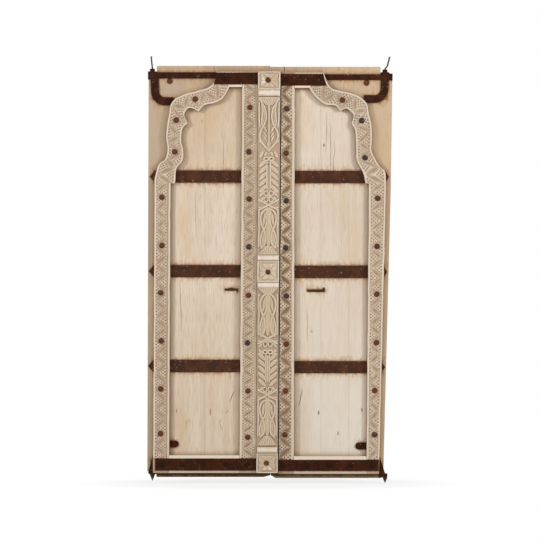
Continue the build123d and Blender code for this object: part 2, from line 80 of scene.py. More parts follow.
# Straps across the boards, as middle height and half height, and the foot and head of the end straps
LEFT_STRAPS = [(1322, 26.5), (906, 26.5), (489, 27)]
RIGHT_STRAPS = [(1320, 26.5), (903, 27), (484, 26)]
LEFT_TOP_STRAP, LEFT_BOTTOM_STRAP = (1726, 1778), (30, 84)
RIGHT_TOP_STRAP, RIGHT_BOTTOM_STRAP = (1720, 1772), (28, 78)

# The photograph: its size, the row of the leaves' foot, and millimetres for one pixel
PICTURE = 540
FOOT_ROW = 477.5
PIXEL = 4.39


def line(foot, head):
    """Straight edge: x at height z, from its x at the leaf's foot and head."""
    return lambda z: foot + (head - foot) * z / LEAF_TOP


LEFT_OUTER = (line(-516, -506), line(-446, -436))
LEFT_INNER = (line(-137, -123), line(-62, -54))
ASTRAGAL = (line(-62, -54), line(31, 44))
RIGHT_INNER = (line(35, 48), line(102, 107))
RIGHT_OUTER = (line(421, 437), line(476, 520))


# Node helpers
def node_group(name, inputs, outputs):
    """New shader group with its named sockets; inputs give kind and default."""
    tree = bpy.data.node_groups.new(name, "ShaderNodeTree")
    for label, kind, value in inputs:
        socket = tree.interface.new_socket(label, in_out="INPUT", socket_type="NodeSocket" + kind)
        socket.default_value = value
    for label, kind in outputs:
        tree.interface.new_socket(label, in_out="OUTPUT", socket_type="NodeSocket" + kind)
    return tree, tree.nodes.new("NodeGroupInput").outputs, tree.nodes.new("NodeGroupOutput").inputs


class Graph:
    """Short calls for the nodes of one tree."""

    def __init__(self, tree):
        self.tree = tree

    def put(self, target, value):
        if isinstance(value, bpy.types.NodeSocket):
            self.tree.links.new(value, target)
        else:
            target.default_value = value

    def node(self, kind, settings=None, **sockets):
        made = self.tree.nodes.new("ShaderNode" + kind)
        for key, value in (settings or {}).items():
            setattr(made, key, value)
        for key, value in sockets.items():
            self.put(made.inputs[key.replace("_", " ")], value)
        return made

    def math(self, operation, a, b=0.0, clamp=False):
        made = self.node("Math", {"operation": operation, "use_clamp": clamp})
        self.put(made.inputs[0], a)
        self.put(made.inputs[1], b)
        return made.outputs[0]

    def vector(self, operation, a, b=None):
        made = self.node("VectorMath", {"operation": operation})
        self.put(made.inputs[0], a)
        if b is not None:
            self.put(made.inputs[1], b)
        return made.outputs[0]

    def mix(self, share, a, b, blend="MIX"):
        made = self.node("Mix", {"data_type": "RGBA", "blend_type": blend, "clamp_result": True})
        self.put(made.inputs[0], share)
        self.put(made.inputs[6], a)
        self.put(made.inputs[7], b)
        return made.outputs[2]

    def ramp(self, value, low, high, start=0.0, end=1.0):
        made = self.node("MapRange", {"clamp": True, "interpolation_type": "SMOOTHSTEP"})
        for index, given in enumerate((value, low, high, start, end)):
            self.put(made.inputs[index], given)
        return made.outputs[0]

    def noise(self, place, scale, detail=3.0, rough=0.55, stretch=(1, 1, 1), shift=(0, 0, 0)):
        moved = self.node("Mapping", {"vector_type": "POINT"})
        self.put(moved.inputs["Vector"], place)
        moved.inputs["Scale"].default_value = stretch
        self.put(moved.inputs["Location"], shift)
        made = self.node("TexNoise")
        self.put(made.inputs["Vector"], moved.outputs[0])
        self.put(made.inputs["Scale"], scale)
        made.inputs["Detail"].default_value = detail
        made.inputs["Roughness"].default_value = rough
        return made.outputs["Fac"]


def grain_group():
    """Streaks of sawn and weathered grain that run along z."""
    tree, given, out = node_group(
        "Upright grain",
        [("Place", "Vector", (0, 0, 0)), ("Shift", "Vector", (0, 0, 0)), ("Streak scale", "Float", 60.0)],
        [("Streak", "Float"), ("Fine", "Float"), ("Patch", "Float")])
    g = Graph(tree)
    streak = g.noise(given["Place"], given["Streak scale"], 4.0, 0.6, (1, 0.4, 0.035), given["Shift"])
    fine = g.noise(given["Place"], g.math("MULTIPLY", given["Streak scale"], 6.0), 2.0, 0.6,
                   (1, 0.4, 0.03), given["Shift"])
    patch = g.noise(given["Place"], 4.0, 3.0, 0.5, (1, 1, 0.35), given["Shift"])
    g.put(out["Streak"], streak)
    g.put(out["Fine"], fine)
    g.put(out["Patch"], patch)
    return tree


def crack_group():
    """Thin drying cracks along the grain, as a mask."""
    tree, given, out = node_group(
        "Drying cracks",
        [("Place", "Vector", (0, 0, 0)), ("Shift", "Vector", (0, 0, 0)), ("Width", "Float", 0.012)],
        [("Crack", "Float")])
    g = Graph(tree)
    wander = g.noise(given["Place"], 9.0, 3.0, 0.55, (1, 0.2, 0.1), given["Shift"])
    near = g.math("ABSOLUTE", g.math("SUBTRACT", wander, 0.5))
    thin = g.ramp(near, 0.0, given["Width"], 1.0, 0.0)
    where = g.noise(given["Place"], 5.0, 2.0, 0.5, (1.4, 0.2, 0.5), given["Shift"])
    g.put(out["Crack"], g.math("MULTIPLY", thin, g.ramp(where, 0.54, 0.66)))
    return tree


def rust_group():
    """Blotches of bright rust over old iron, with a fine pitted height."""
    tree, given, out = node_group(
        "Rusted iron",
        [("Place", "Vector", (0, 0, 0)), ("Dark", "Color", (0.03, 0.015, 0.012, 1)),
         ("Rust", "Color", (0.12, 0.045, 0.02, 1)), ("Amount", "Float", 0.5)],
        [("Color", "Color"), ("Height", "Float"), ("Rust mask", "Float")])
    g = Graph(tree)
    broad = g.noise(given["Place"], 26.0, 5.0, 0.62)
    pits = g.noise(given["Place"], 320.0, 3.0, 0.6)
    specks = g.ramp(g.noise(given["Place"], 120.0, 1.0, 0.4, shift=(4, 2, 7)), 0.7, 0.78)
    mask = g.ramp(g.math("ADD", broad, g.math("MULTIPLY", given["Amount"], 0.3)), 0.5, 0.85)
    tone = g.mix(mask, given["Dark"], given["Rust"])
    tone = g.mix(g.math("MULTIPLY", pits, 0.5), tone, given["Dark"])
    g.put(out["Color"], g.mix(g.math("MULTIPLY", specks, 0.45), tone, (0.42, 0.36, 0.32, 1)))
    g.put(out["Height"], pits)
    g.put(out["Rust mask"], mask)
    return tree


def dirt_and_shade_group():
    """Dirt and painted shade that stay in hollows and beside raised parts, as a mask from how open the
    surface is.
    """
    tree, given, out = node_group("Hollow dirt and shade", [("Reach", "Float", 0.01)], [("Dirt and shade", "Float")])
    g = Graph(tree)
    shade = g.node("AmbientOcclusion", {"samples": 8})
    g.put(shade.inputs["Distance"], given["Reach"])
    g.put(out["Dirt and shade"], g.ramp(shade.outputs["AO"], 0.35, 0.95, 1.0, 0.0))
    return tree


def stain_group():
    """Rust that has run into the wood round a flat iron, as a mask."""
    tree, given, out = node_group(
        "Rust stain", [("Place", "Vector", (0, 0, 0)), ("Middle", "Vector", (0, 0, 0)),
                       ("Half", "Vector", (0.1, 1, 0.03)), ("Reach", "Float", 0.012)],
        [("Stain", "Float"), ("Halo", "Float")])
    g = Graph(tree)
    apart = g.vector("SUBTRACT", given["Place"], given["Middle"])
    beyond = g.vector("MAXIMUM", g.vector("SUBTRACT", g.vector("ABSOLUTE", apart), given["Half"]), (0, 0, 0))
    away = g.node("VectorMath", {"operation": "LENGTH"}, Vector=beyond).outputs["Value"]
    ragged = g.noise(given["Place"], 70.0, 4.0, 0.65, (1, 1, 0.45))
    reach = g.math("MULTIPLY", given["Reach"], g.ramp(ragged, 0.3, 0.75, 0.1, 1.9))
    share = g.math("DIVIDE", away, reach)
    g.put(out["Stain"], g.ramp(share, 0.0, 1.0, 1.0, 0.0))
    g.put(out["Halo"], g.ramp(share, 0.5, 3.5, 1.0, 0.0))
    return tree


def split_group():
    """One crack or knot: a wandering mark about a line from one place to another."""
    tree, given, out = node_group(
        "Split", [("Place", "Vector", (0, 0, 0)), ("From", "Vector", (0, 0, 0)), ("To", "Vector", (0, 0, 1)),
                  ("Width", "Float", 0.001), ("Wander", "Float", 0.004)], [("Mark", "Float")])
    g = Graph(tree)
    drift = g.math("SUBTRACT", g.noise(given["Place"], 22.0, 3.0, 0.6, (0.3, 0.3, 1)), 0.5)
    side = g.node("CombineXYZ", X=g.math("MULTIPLY", drift, given["Wander"]))
    place = g.vector("MULTIPLY", g.vector("ADD", given["Place"], side.outputs[0]), (1, 0, 1))
    run = g.vector("SUBTRACT", given["To"], given["From"])
    start = g.vector("SUBTRACT", place, given["From"])
    dots = [g.node("VectorMath", {"operation": "DOT_PRODUCT"}) for _ in range(2)]
    for made, first in zip(dots, (start, run)):
        g.put(made.inputs[0], first)
        g.put(made.inputs[1], run)
    share = g.math("DIVIDE", dots[0].outputs["Value"], dots[1].outputs["Value"], clamp=True)
    scaled = g.node("VectorMath", {"operation": "SCALE"})
    g.put(scaled.inputs[0], run)
    g.put(scaled.inputs["Scale"], share)
    away = g.node("VectorMath", {"operation": "LENGTH"},
                  Vector=g.vector("SUBTRACT", start, scaled.outputs[0])).outputs["Value"]
    taper = g.ramp(g.math("ABSOLUTE", g.math("SUBTRACT", share, 0.5)), 0.1, 0.5, 1.0, 0.45)
    reach = g.math("MULTIPLY", given["Width"], taper)
    g.put(out["Mark"], g.ramp(g.math("DIVIDE", away, reach), 0.4, 1.2, 1.0, 0.0))
    return tree


GRAIN, CRACKS, RUST, DIRT_AND_SHADE = grain_group(), crack_group(), rust_group(), dirt_and_shade_group()
STAIN, SPLIT = stain_group(), split_group()


def use(g, group, **sockets):
    made = g.node("Group", {"node_tree": group})
    for key, value in sockets.items():
        g.put(made.inputs[key.replace("_", " ")], value)
    return made.outputs


def material(name):
    """Material with one Principled shader; returns it with its graph and place coordinates."""
    made = bpy.data.materials.new(name)
    made.use_nodes = True
    g = Graph(made.node_tree)
    shader = made.node_tree.nodes["Principled BSDF"]
    place = g.node("TexCoord").outputs["Object"]
    return made, g, shader, place


def bump(g, shader, height, distance, strength=1.0):
    made = g.node("Bump")
    g.put(made.inputs["Height"], height)
    made.inputs["Distance"].default_value = distance
    made.inputs["Strength"].default_value = strength
    g.put(shader.inputs["Normal"], made.outputs["Normal"])


def wood(name, dark, mid, pale, dirt_and_shade, dirt_and_shade_reach=0.012, streak=60.0, shift=(0, 0, 0), crack_share=0.5,
         dirt_and_shade_share=0.8, rim_wear_and_highlight=None, sunk=None, extra=None):
    """Dry bare timber: grain streaks, drying cracks, dirt and painted shade in the hollows, and worn pale
    rims with a painted highlight.
    """
    made, g, shader, place = material(name)
    grain = use(g, GRAIN, Place=place, Shift=shift, Streak_scale=streak)
    cracks = use(g, CRACKS, Place=place, Shift=shift, Width=0.006)
    crack = g.math("MULTIPLY", cracks["Crack"], crack_share)
    hollow = use(g, DIRT_AND_SHADE, Reach=dirt_and_shade_reach)
    tone = g.mix(g.ramp(grain["Streak"], 0.3, 0.7), dark, mid)
    tone = g.mix(g.ramp(grain["Patch"], 0.35, 0.7), tone, pale)
    tone = g.mix(g.math("MULTIPLY", g.ramp(grain["Fine"], 0.35, 0.62, 1.0, 0.0), 0.35), tone, dark)
    if extra:
        tone, crack = extra(g, place, tone, crack)
    if rim_wear_and_highlight:
        bent = g.node("NewGeometry").outputs["Pointiness"]
        # Lighter on convex edges: pale wear with a painted highlight.
        tone = g.mix(g.ramp(bent, 0.505, 0.56, 0.0, 0.85), tone, rim_wear_and_highlight)
        # Darker in concave creases: dirt and painted shade, in the dirt_and_shade colour.
        tone = g.mix(g.ramp(bent, 0.44, 0.495, 0.6, 0.0), tone, dirt_and_shade)
    if sunk:
        face, floor, colour, share, crown = sunk
        ahead = g.node("SeparateXYZ", Vector=place).outputs["Y"]
        # Darker on the sunk ground of the carving, between the face and floor depths, uneven with the grain's
        # patches.
        sunk_darkening = g.math("MULTIPLY", g.ramp(ahead, -face * MM, -floor * MM),
                       g.ramp(ahead, -(floor - 2.5) * MM, -(floor - 5) * MM, 1.0, 0.0))
        uneven = g.ramp(grain["Patch"], 0.25, 0.75, 0.75, 1.15)
        tone = g.mix(g.math("MULTIPLY", g.math("MULTIPLY", sunk_darkening, uneven), share), tone, colour)
        # Painted highlight, with pale wear, on the surfaces standing out past the crown depth.
        tone = g.mix(g.ramp(ahead, -(crown + 0.5) * MM, -crown * MM, 0.6, 0.0), tone, rim_wear_and_highlight)
    # Dirt and painted shade: the dirt_and_shade colour where nearby parts hem the surface in.
    tone = g.mix(g.math("MULTIPLY", hollow["Dirt and shade"], dirt_and_shade_share), tone, dirt_and_shade)
    tone = g.mix(crack, tone, (0.09, 0.05, 0.03, 1))
    g.put(shader.inputs["Base Color"], tone)
    shader.inputs["Roughness"].default_value = 0.85
    shader.inputs["Specular IOR Level"].default_value = 0.05
    height = g.math("SUBTRACT", g.math("ADD", grain["Streak"], g.math("MULTIPLY", grain["Fine"], 0.5)),
                    g.math("MULTIPLY", crack, 2.0))
    bump(g, shader, height, 0.0012, 0.6)
    return made


def iron(name, dark, rust, amount, rough, gloss=0.2, metallic=0.0):
    """Forged iron with rust blotches and pits."""
    made, g, shader, place = material(name)
    rusted = use(g, RUST, Place=place, Dark=dark, Rust=rust, Amount=amount)
    g.put(shader.inputs["Base Color"], rusted["Color"])
    g.put(shader.inputs["Roughness"], g.ramp(rusted["Rust mask"], 0.0, 1.0, rough, 0.9))
    shader.inputs["Metallic"].default_value = metallic
    shader.inputs["Specular IOR Level"].default_value = gloss
    bump(g, shader, rusted["Height"], 0.0008, 0.7)
    return made


# Flat irons that have stained the boards: middle x, z and half sizes, in millimetres
STAINED = [(-290, 1322, 220, 27), (-290, 906, 220, 27), (-290, 489, 220, 27),
           (280, 1320, 220, 27), (280, 903, 220, 27), (280, 484, 210, 26),
           (-380, 1767, 150, 13), (390, 1759, 150, 12), (-145, 1752, 100, 26), (140, 1746, 100, 26),
           (-507, 1715, 12, 55), (-460, 1653, 34, 14), (501, 1710, 12, 50), (450, 1663, 36, 14),
           (-450, 146, 30, 11), (420, 137, 30, 11), (-522, 30, 6, 45), (506, 25, 6, 45),
           (-172, 825, 27, 3), (198, 822, 36, 3)]
# Cracks and knots of the boards: from x, z to x, z, width and wander
SPLITS = [(-161, 378, -179, 329, 1.7, 8), (-186, 294, -195, 280, 1.1, 4), (249, 1605, 243, 1430, 0.9, 12),
          (262, 1560, 266, 1330, 0.9, 14), (281, 1480, 277, 1275, 0.8, 10), (140, 384, 124, 311, 1.6, 8),
          (-228, 238, -216, 256, 0.9, 4), (-224, 238, -210, 204, 0.8, 6), (89, 1250, 84, 1120, 1.0, 8),
          (61, 1812, 61, 1782, 1.8, 3), (-248, 1812, -247, 1786, 0.8, 3), (112, 1812, 113, 1784, 0.8, 3),
          (300, 1812, 301, 1784, 0.8, 3), (0, 1812, 0, 1776, 3.2, 0), (-398, 870, -392, 640, 1.0, 8),
          (-205, 1500, -208, 1240, 0.7, 10), (-330, 1250, -327, 1050, 0.7, 8), (160, 760, 163, 600, 0.8, 8)]
# Knots and worm holes: x, z, half height, half width
KNOTS = [(-414, 291, 9, 2.6), (-264, 286, 16, 2.8), (235, 1460, 6, 5), (-302, 1566, 3, 3), (212, 283, 8, 5),
         (402, 296, 8, 4), (297, 192, 8, 3.5), (182, 640, 3.5, 3.5), (150, 1330, 5, 2.5), (84, 1130, 20, 4)]
# The panels are paler than the boards outside the frame: half size of the pale field
PALE_HALF, PALE_FOOT, PALE_RISE = 432, 1290, 412


def marked(g, place, lines, mark):
    """Adds the marks of several cracks or knots, given as in SPLITS, to a mask."""
    for x0, z0, x1, z1, width, wander in lines:
        made = use(g, SPLIT, Place=place, From=(x0 * MM, 0, z0 * MM), To=(x1 * MM, 0, z1 * MM),
                   Width=width * MM, Wander=wander * MM)
        mark = g.math("MAXIMUM", made["Mark"], mark)
    return mark


def board_marks(g, place, tone, crack):
    """Darker boards outside the arch, stains round the irons, the boards' cracks and knots, and a painted
    shadow under the frame's foot rail.
    """
    parts = g.node("SeparateXYZ", Vector=place)
    across = g.math("POWER", g.math("DIVIDE", g.math("ABSOLUTE", parts.outputs["X"]), PALE_HALF * MM), 4.0)
    above = g.math("MAXIMUM", g.math("SUBTRACT", parts.outputs["Z"], PALE_FOOT * MM), 0.0)
    rise = g.math("POWER", g.math("DIVIDE", above, PALE_RISE * MM), 4.0)
    front = g.ramp(parts.outputs["Y"], 0.002, 0.006, 1.0, 0.0)
    outside = g.math("MULTIPLY", g.ramp(g.math("ADD", across, rise), 0.85, 1.15), front)
    darker = g.ramp(parts.outputs["X"], -0.1, 0.4, 0.72, 0.62)
    weathered = g.mix(g.ramp(parts.outputs["X"], 0.0, 0.35), (0.40, 0.285, 0.185, 1), (0.50, 0.33, 0.175, 1))
    tone = g.mix(g.math("MULTIPLY", outside, darker), tone, weathered)
    warm = g.noise(place, 7.0, 4.0, 0.6, (1, 1, 0.4), (6, 3, 1))
    tone = g.mix(g.ramp(warm, 0.5, 0.68, 0.0, 0.55), tone, (0.62, 0.44, 0.27, 1))
    fibre = g.noise(place, 330.0, 2.0, 0.55, (1, 0.5, 0.045), (2, 2, 9))
    tone = g.mix(g.ramp(fibre, 0.5, 0.66, 0.0, 0.42), tone, (0.44, 0.30, 0.18, 1))
    brown_up = g.math("MULTIPLY", g.ramp(parts.outputs["Z"], 1.25, 1.45, 0.0, 0.4),
                      g.ramp(parts.outputs["X"], -0.1, -0.02, 1.0, 0.0))
    panels = g.math("SUBTRACT", front, outside, clamp=True)
    tone = g.mix(g.math("MULTIPLY", brown_up, panels), tone, (0.53, 0.37, 0.215, 1))
    pale_low = g.math("MULTIPLY", g.ramp(parts.outputs["Z"], 0.1, 1.2, 0.55, 0.2),
                      g.ramp(parts.outputs["X"], 0.1, 0.2))
    tone = g.mix(g.math("MULTIPLY", pale_low, panels), tone, (0.74, 0.69, 0.60, 1))
    stain, halo = 0.0, 0.0
    for x, z, half_x, half_z in STAINED:
        made = use(g, STAIN, Place=place, Middle=(x * MM, 0, z * MM), Half=(half_x * MM, 1, half_z * MM),
                   Reach=0.008)
        stain = g.math("MAXIMUM", made["Stain"], stain)
        halo = g.math("MAXIMUM", made["Halo"], halo)
    tone = g.mix(g.math("MULTIPLY", halo, g.math("MULTIPLY", front, 0.45)), tone, (0.44, 0.215, 0.075, 1))
    tone = g.mix(g.math("MULTIPLY", stain, g.math("MULTIPLY", front, 0.75)), tone, (0.20, 0.085, 0.035, 1))
    ragged = g.math("MULTIPLY", g.math("SUBTRACT", g.noise(place, 60.0, 3.0), 0.5), 0.012)
    low = g.math("ADD", parts.outputs["Z"], ragged)
    # Darker tone over the boards' bottom 24 mm; from a ragged line about 8 mm up, a near-black painted shadow
    # under the frame's foot rail.
    foot = g.math("MULTIPLY", g.ramp(parts.outputs["Z"], 0.022, 0.026, 1.0, 0.0), front)
    tone = g.mix(foot, tone, (0.24, 0.16, 0.085, 1))
    tone = g.mix(g.math("MULTIPLY", g.ramp(low, 0.005, 0.008), foot), tone, (0.012, 0.004, 0.002, 1))
    crack = marked(g, place, SPLITS, crack)
    knot = marked(g, place, [(x, z - tall, x, z + tall, wide, wide) for x, z, tall, wide in KNOTS], 0.0)
    tone = g.mix(g.math("MULTIPLY", knot, g.math("MULTIPLY", front, 0.8)), tone, (0.16, 0.08, 0.035, 1))
    return tone, crack


def astragal_marks(g, place, tone, crack):
    """The lower shaft is browner, and rust has run into the wood here and there."""
    parts = g.node("SeparateXYZ", Vector=place)
    lower = g.ramp(parts.outputs["Z"], 0.78, 0.88, 0.5, 0.0)
    tone = g.mix(lower, tone, (0.47, 0.34, 0.215, 1))
    blotch = g.noise(place, 16.0, 4.0, 0.6, (1, 1, 0.6), (5, 8, 2))
    return g.mix(g.ramp(blotch, 0.55, 0.7, 0.0, 0.5), tone, (0.52, 0.33, 0.18, 1)), crack


# On the boards the dirt_and_shade colour reaches 30 mm out from the raised frame: painted shade along the
# panels' edges, with dirt.
BOARD = wood("Boards bare timber", (0.60, 0.475, 0.355, 1), (0.68, 0.565, 0.445, 1), (0.73, 0.63, 0.515, 1),
             dirt_and_shade=(0.27, 0.165, 0.09, 1), dirt_and_shade_reach=0.03, streak=42.0, crack_share=0.12, dirt_and_shade_share=0.75,
             extra=board_marks)
CARVED = wood("Carved outer timber", (0.42, 0.31, 0.215, 1), (0.52, 0.40, 0.29, 1), (0.60, 0.48, 0.36, 1),
              dirt_and_shade=(0.17, 0.10, 0.055, 1), dirt_and_shade_reach=0.008, streak=70.0, shift=(3, 1, 2), crack_share=0.1,
              dirt_and_shade_share=0.6, rim_wear_and_highlight=(0.76, 0.645, 0.52, 1),
              sunk=(21.3, 18.2, (0.25, 0.155, 0.085, 1), 0.85, 21.75))
CARVED_DARK = wood("Carved inner timber", (0.37, 0.265, 0.175, 1), (0.47, 0.35, 0.24, 1),
                   (0.56, 0.43, 0.31, 1), dirt_and_shade=(0.10, 0.055, 0.03, 1), dirt_and_shade_reach=0.008, streak=70.0,
                   shift=(2, 7, 2), crack_share=0.1, dirt_and_shade_share=0.7, rim_wear_and_highlight=(0.76, 0.65, 0.52, 1),
                   sunk=(21.2, 18.4, (0.17, 0.10, 0.048, 1), 0.85, 21.7))
ASTRAGAL_WOOD = wood("Astragal pale timber", (0.50, 0.38, 0.26, 1), (0.61, 0.485, 0.36, 1),
                     (0.68, 0.565, 0.44, 1), dirt_and_shade=(0.32, 0.19, 0.10, 1), dirt_and_shade_reach=0.010, streak=70.0,
                     shift=(8, 1, 5), crack_share=0.1, dirt_and_shade_share=0.65, rim_wear_and_highlight=(0.84, 0.76, 0.67, 1),
                     sunk=(32.4, 28.4, (0.34, 0.22, 0.125, 1), 0.6, 39.8), extra=astragal_marks)
LEDGE = wood("Ledge sawn timber", (0.24, 0.16, 0.10, 1), (0.36, 0.26, 0.17, 1), (0.44, 0.33, 0.22, 1),
             dirt_and_shade=(0.12, 0.07, 0.04, 1), dirt_and_shade_reach=0.02, streak=50.0, shift=(5, 4, 1))
STRAP = iron("Strap rusted iron", (0.048, 0.020, 0.012, 1), (0.115, 0.040, 0.016, 1), 0.4, 0.75, 0.08)
DARK_STRAP = iron("Dark strap iron", (0.034, 0.010, 0.0045, 1), (0.075, 0.021, 0.007, 1), 0.4, 0.7, 0.05)
FORGED = iron("Corner iron", (0.030, 0.009, 0.005, 1), (0.085, 0.024, 0.010, 1), 0.3, 0.65, 0.06)
NAIL = iron("Nail head iron", (0.075, 0.021, 0.010, 1), (0.17, 0.046, 0.017, 1), 0.45, 0.5, 0.2)
SHINY_NAIL = iron("Worn nail head iron", (0.030, 0.012, 0.008, 1), (0.09, 0.03, 0.014, 1), 0.1, 0.25, 0.3)
FLAT_NAIL = iron("Flat nail head iron", (0.018, 0.006, 0.003, 1), (0.05, 0.015, 0.006, 1), 0.2, 0.6, 0.08)
PIVOT = iron("Pivot iron", (0.05, 0.035, 0.03, 1), (0.12, 0.08, 0.06, 1), 0.3, 0.5, metallic=0.3)

SLOT_MATERIALS = {"board_wood": BOARD, "carved_wood": CARVED, "ledge_wood": LEDGE, "strap_iron": STRAP,
                  "forged_iron": FORGED, "nail_iron": NAIL, "pivot_steel": PIVOT}
for part in frame["record"]["subparts"]:
    solid = bpy.data.objects[part["node"]]
    finish = SLOT_MATERIALS[part["material_slot"]]
    if part["node"] == "astragal":
        finish = ASTRAGAL_WOOD
    if part["node"] in ("left_foot_iron", "right_foot_iron"):
        finish = DARK_STRAP
    solid.data.materials.clear()
    solid.data.materials.append(finish)


# Mesh helpers
def solid_mesh(name, vertices, faces, finish, smooth=True):
    """Object from vertices in millimetres and a list of faces."""
    mesh = bpy.data.meshes.new(name)
    mesh.from_pydata((np.asarray(vertices, float) * MM).tolist(), [], faces)
    mesh.validate()
    mesh.materials.append(finish)
    mesh.polygons.foreach_set("use_smooth", [smooth] * len(mesh.polygons))
    made = bpy.data.objects.new(name, mesh)
    bpy.context.scene.collection.objects.link(made)
    return made


def relief(name, x, z, ahead, back, finish):
    """Closed piece: a front grid of x, z and ahead, with walls down to the back edge's distance ahead."""
    rows, cols = x.shape
    across = np.array([x[:, -1] - x[:, 0], z[:, -1] - z[:, 0]])
    along = np.array([np.gradient(x.mean(1)), np.gradient(z.mean(1))])
    if np.sum(across[0] * along[1] - across[1] * along[0]) < 0:
        x, z, ahead = x[:, ::-1], z[:, ::-1], ahead[:, ::-1]
    front = np.stack([x, -ahead, z], -1).reshape(-1, 3)
    rim = np.stack([x, -np.broadcast_to(back, x.shape), z], -1)
    low_side, high_side = rim[:, 0], rim[:, -1]
    vertices = np.concatenate([front, low_side, high_side])
    a = np.arange(rows - 1)[:, None] * cols + np.arange(cols - 1)[None]
    quads = np.stack([a, a + 1, a + cols + 1, a + cols], -1).reshape(-1, 4)
    first, second = rows * cols, rows * cols + rows
    r = np.arange(rows - 1)
    low_wall = np.stack([first + r, r * cols, (r + 1) * cols, first + r + 1], -1)
    high_wall = np.stack([r * cols + cols - 1, second + r, second + r + 1, (r + 1) * cols + cols - 1], -1)
    behind = np.stack([second + r, first + r, first + r + 1, second + r + 1], -1)
    faces = np.concatenate([quads, low_wall, high_wall, behind]).tolist()
    faces.append([first] + [second] + list(range(cols - 1, -1, -1)))
    top = (rows - 1) * cols
    faces.append(list(range(top, top + cols)) + [second + rows - 1, first + rows - 1])
    return solid_mesh(name, vertices, faces, finish)


def smooth_noise(shape, cells, seed):
    """Soft random field of about unit size, sampled on a grid of the given shape."""
    source = np.random.default_rng(seed)
    coarse = source.normal(size=(cells[0] + 3, cells[1] + 3))
    rows = np.linspace(0, cells[0], shape[0])
    cols = np.linspace(0, cells[1], shape[1])
    r, c = rows.astype(int), cols.astype(int)
    fr, fc = rows - r, cols - c
    fr, fc = fr * fr * (3 - 2 * fr), fc * fc * (3 - 2 * fc)
    a = coarse[np.ix_(r, c)] * (1 - fc) + coarse[np.ix_(r, c + 1)] * fc
    b = coarse[np.ix_(r + 1, c)] * (1 - fc) + coarse[np.ix_(r + 1, c + 1)] * fc
    return a * (1 - fr)[:, None] + b * fr[:, None]


# Dome nails, as x and z
LEFT_DOMES = [(-477, 1231), (-477, 1019), (-482, 811), (-480, 600), (-482, 389), (-483, 193),
              (-90, 1625), (-95, 1430), (-94, 1223), (-97, 800), (-99, 380), (-100, 177),
              (-331, 1661), (-414, 1569), (-420, 1430)]
LEFT_SHINY = [(-95, 1013), (-101, 591)]
RIGHT_DOMES = [(68, 1424), (69, 586), (66, 380), (63, 188), (316, 1657), (471, 1226), (468, 1015), (467, 805),
               (465, 592), (458, 382), (457, 188)]
RIGHT_SHINY = [(71, 1619), (69, 1215), (67, 1008), (69, 797), (401, 1567), (415, 1404)]
NAIL_CLEAR = 15.0


# Carving of the bands: the brackets' pitch; the chips' depth, their ground's height above the band's, half
# size and spacing; the raised edges' height; the hand-cut unevenness
ARCH_PITCH = 39.0
CHIP_DEPTH, CHIP_GROUND = 2.6, 0.45
CHIP_HALF, CHIP_APART = 5.6, 8.0
EDGE_HIGH = 3.2
UNEVEN = 0.18


def leaf_hollow(s, t, half, depth, width, pitch):
    """Zigzag of lens-shaped hollows: s runs along the band, t across it from -half to half."""
    cut = np.zeros_like(s)
    for direction in (1, -1):
        phase = (s - (0 if direction == 1 else pitch)) % (2 * pitch)
        ds, dt = pitch, 2 * half * direction
        along = (phase * ds + (t + half * direction) * dt) / (ds * ds + dt * dt)
        off = (phase * dt - (t + half * direction) * ds) / np.hypot(ds, dt) * direction
        bow = 1 - (2 * along - 1) ** 2
        lens = width / 2 * np.clip(bow, 0, 1) ** 0.75 + 1e-6
        inside = (along > 0.02) & (along < 0.98) & (np.abs(off) < lens)
        share = np.clip(np.abs(off) / lens, 0, 1)
        dish = depth * (0.6 * (1 - share ** 2) + 0.4 * (1 - share)) * (0.45 + 0.55 * bow)
        strokes = 0.2 * np.cos(along * 42) * (1 - share)
        cut = np.maximum(cut, np.where(inside, dish + strokes, 0))
    return cut


def chip_pits(s, t, half, depth, pitch):
    """Checker of small pits in the triangles between the hollows."""
    cut = np.zeros_like(s)
    chip = pitch * 0.175
    for side in (1, -1):
        middle = 0.0 if side == 1 else pitch
        ds = (s - middle + pitch) % (2 * pitch) - pitch
        for column in range(4):
            across = side * (half - 3.8 - column * CHIP_APART)
            for row in range(column - 3, 4 - column, 2):
                reach = (np.abs(ds - row * chip) + np.abs(t - across)) / CHIP_HALF
                cut = np.maximum(cut, depth * np.clip((1 - reach) * 1.9, 0, 1))
    return cut


def carved_band(s, t, half, depth, width, pitch):
    """Depth below the band's ground of its hollows, with the chipped triangles a little above it."""
    leaves = leaf_hollow(s, t, half, depth, width, pitch)
    return np.where(leaves > 0.25, leaves, chip_pits(s, t, half, CHIP_DEPTH, pitch) - CHIP_GROUND)


def clear_nails(x, z, ahead):
    """Leaves the band plain under and right round each nail."""
    for nail_x, nail_z in LEFT_DOMES + LEFT_SHINY + RIGHT_DOMES + RIGHT_SHINY:
        ahead = np.where(np.hypot(x - nail_x, z - nail_z) < NAIL_CLEAR, ON_BAND, ahead)
    return ahead


def raised_edge(distance, width, height):
    """Rounded raised edge whose outer side is at distance 0.

    With width 0, the height at distance 0 isn't a number, and validate in solid_mesh makes it 0.
    """
    place = np.clip(distance / width, 0, 1)
    return height * np.sqrt(np.clip(1 - (2 * place - 1) ** 2, 0, 1)) ** 0.7 * (distance < width)


def leaf_of(node):
    """Body of a piece: what doesn't belong to the right leaf rides on the left one."""
    return "right_leaf" if node.startswith("right") else "left_leaf"


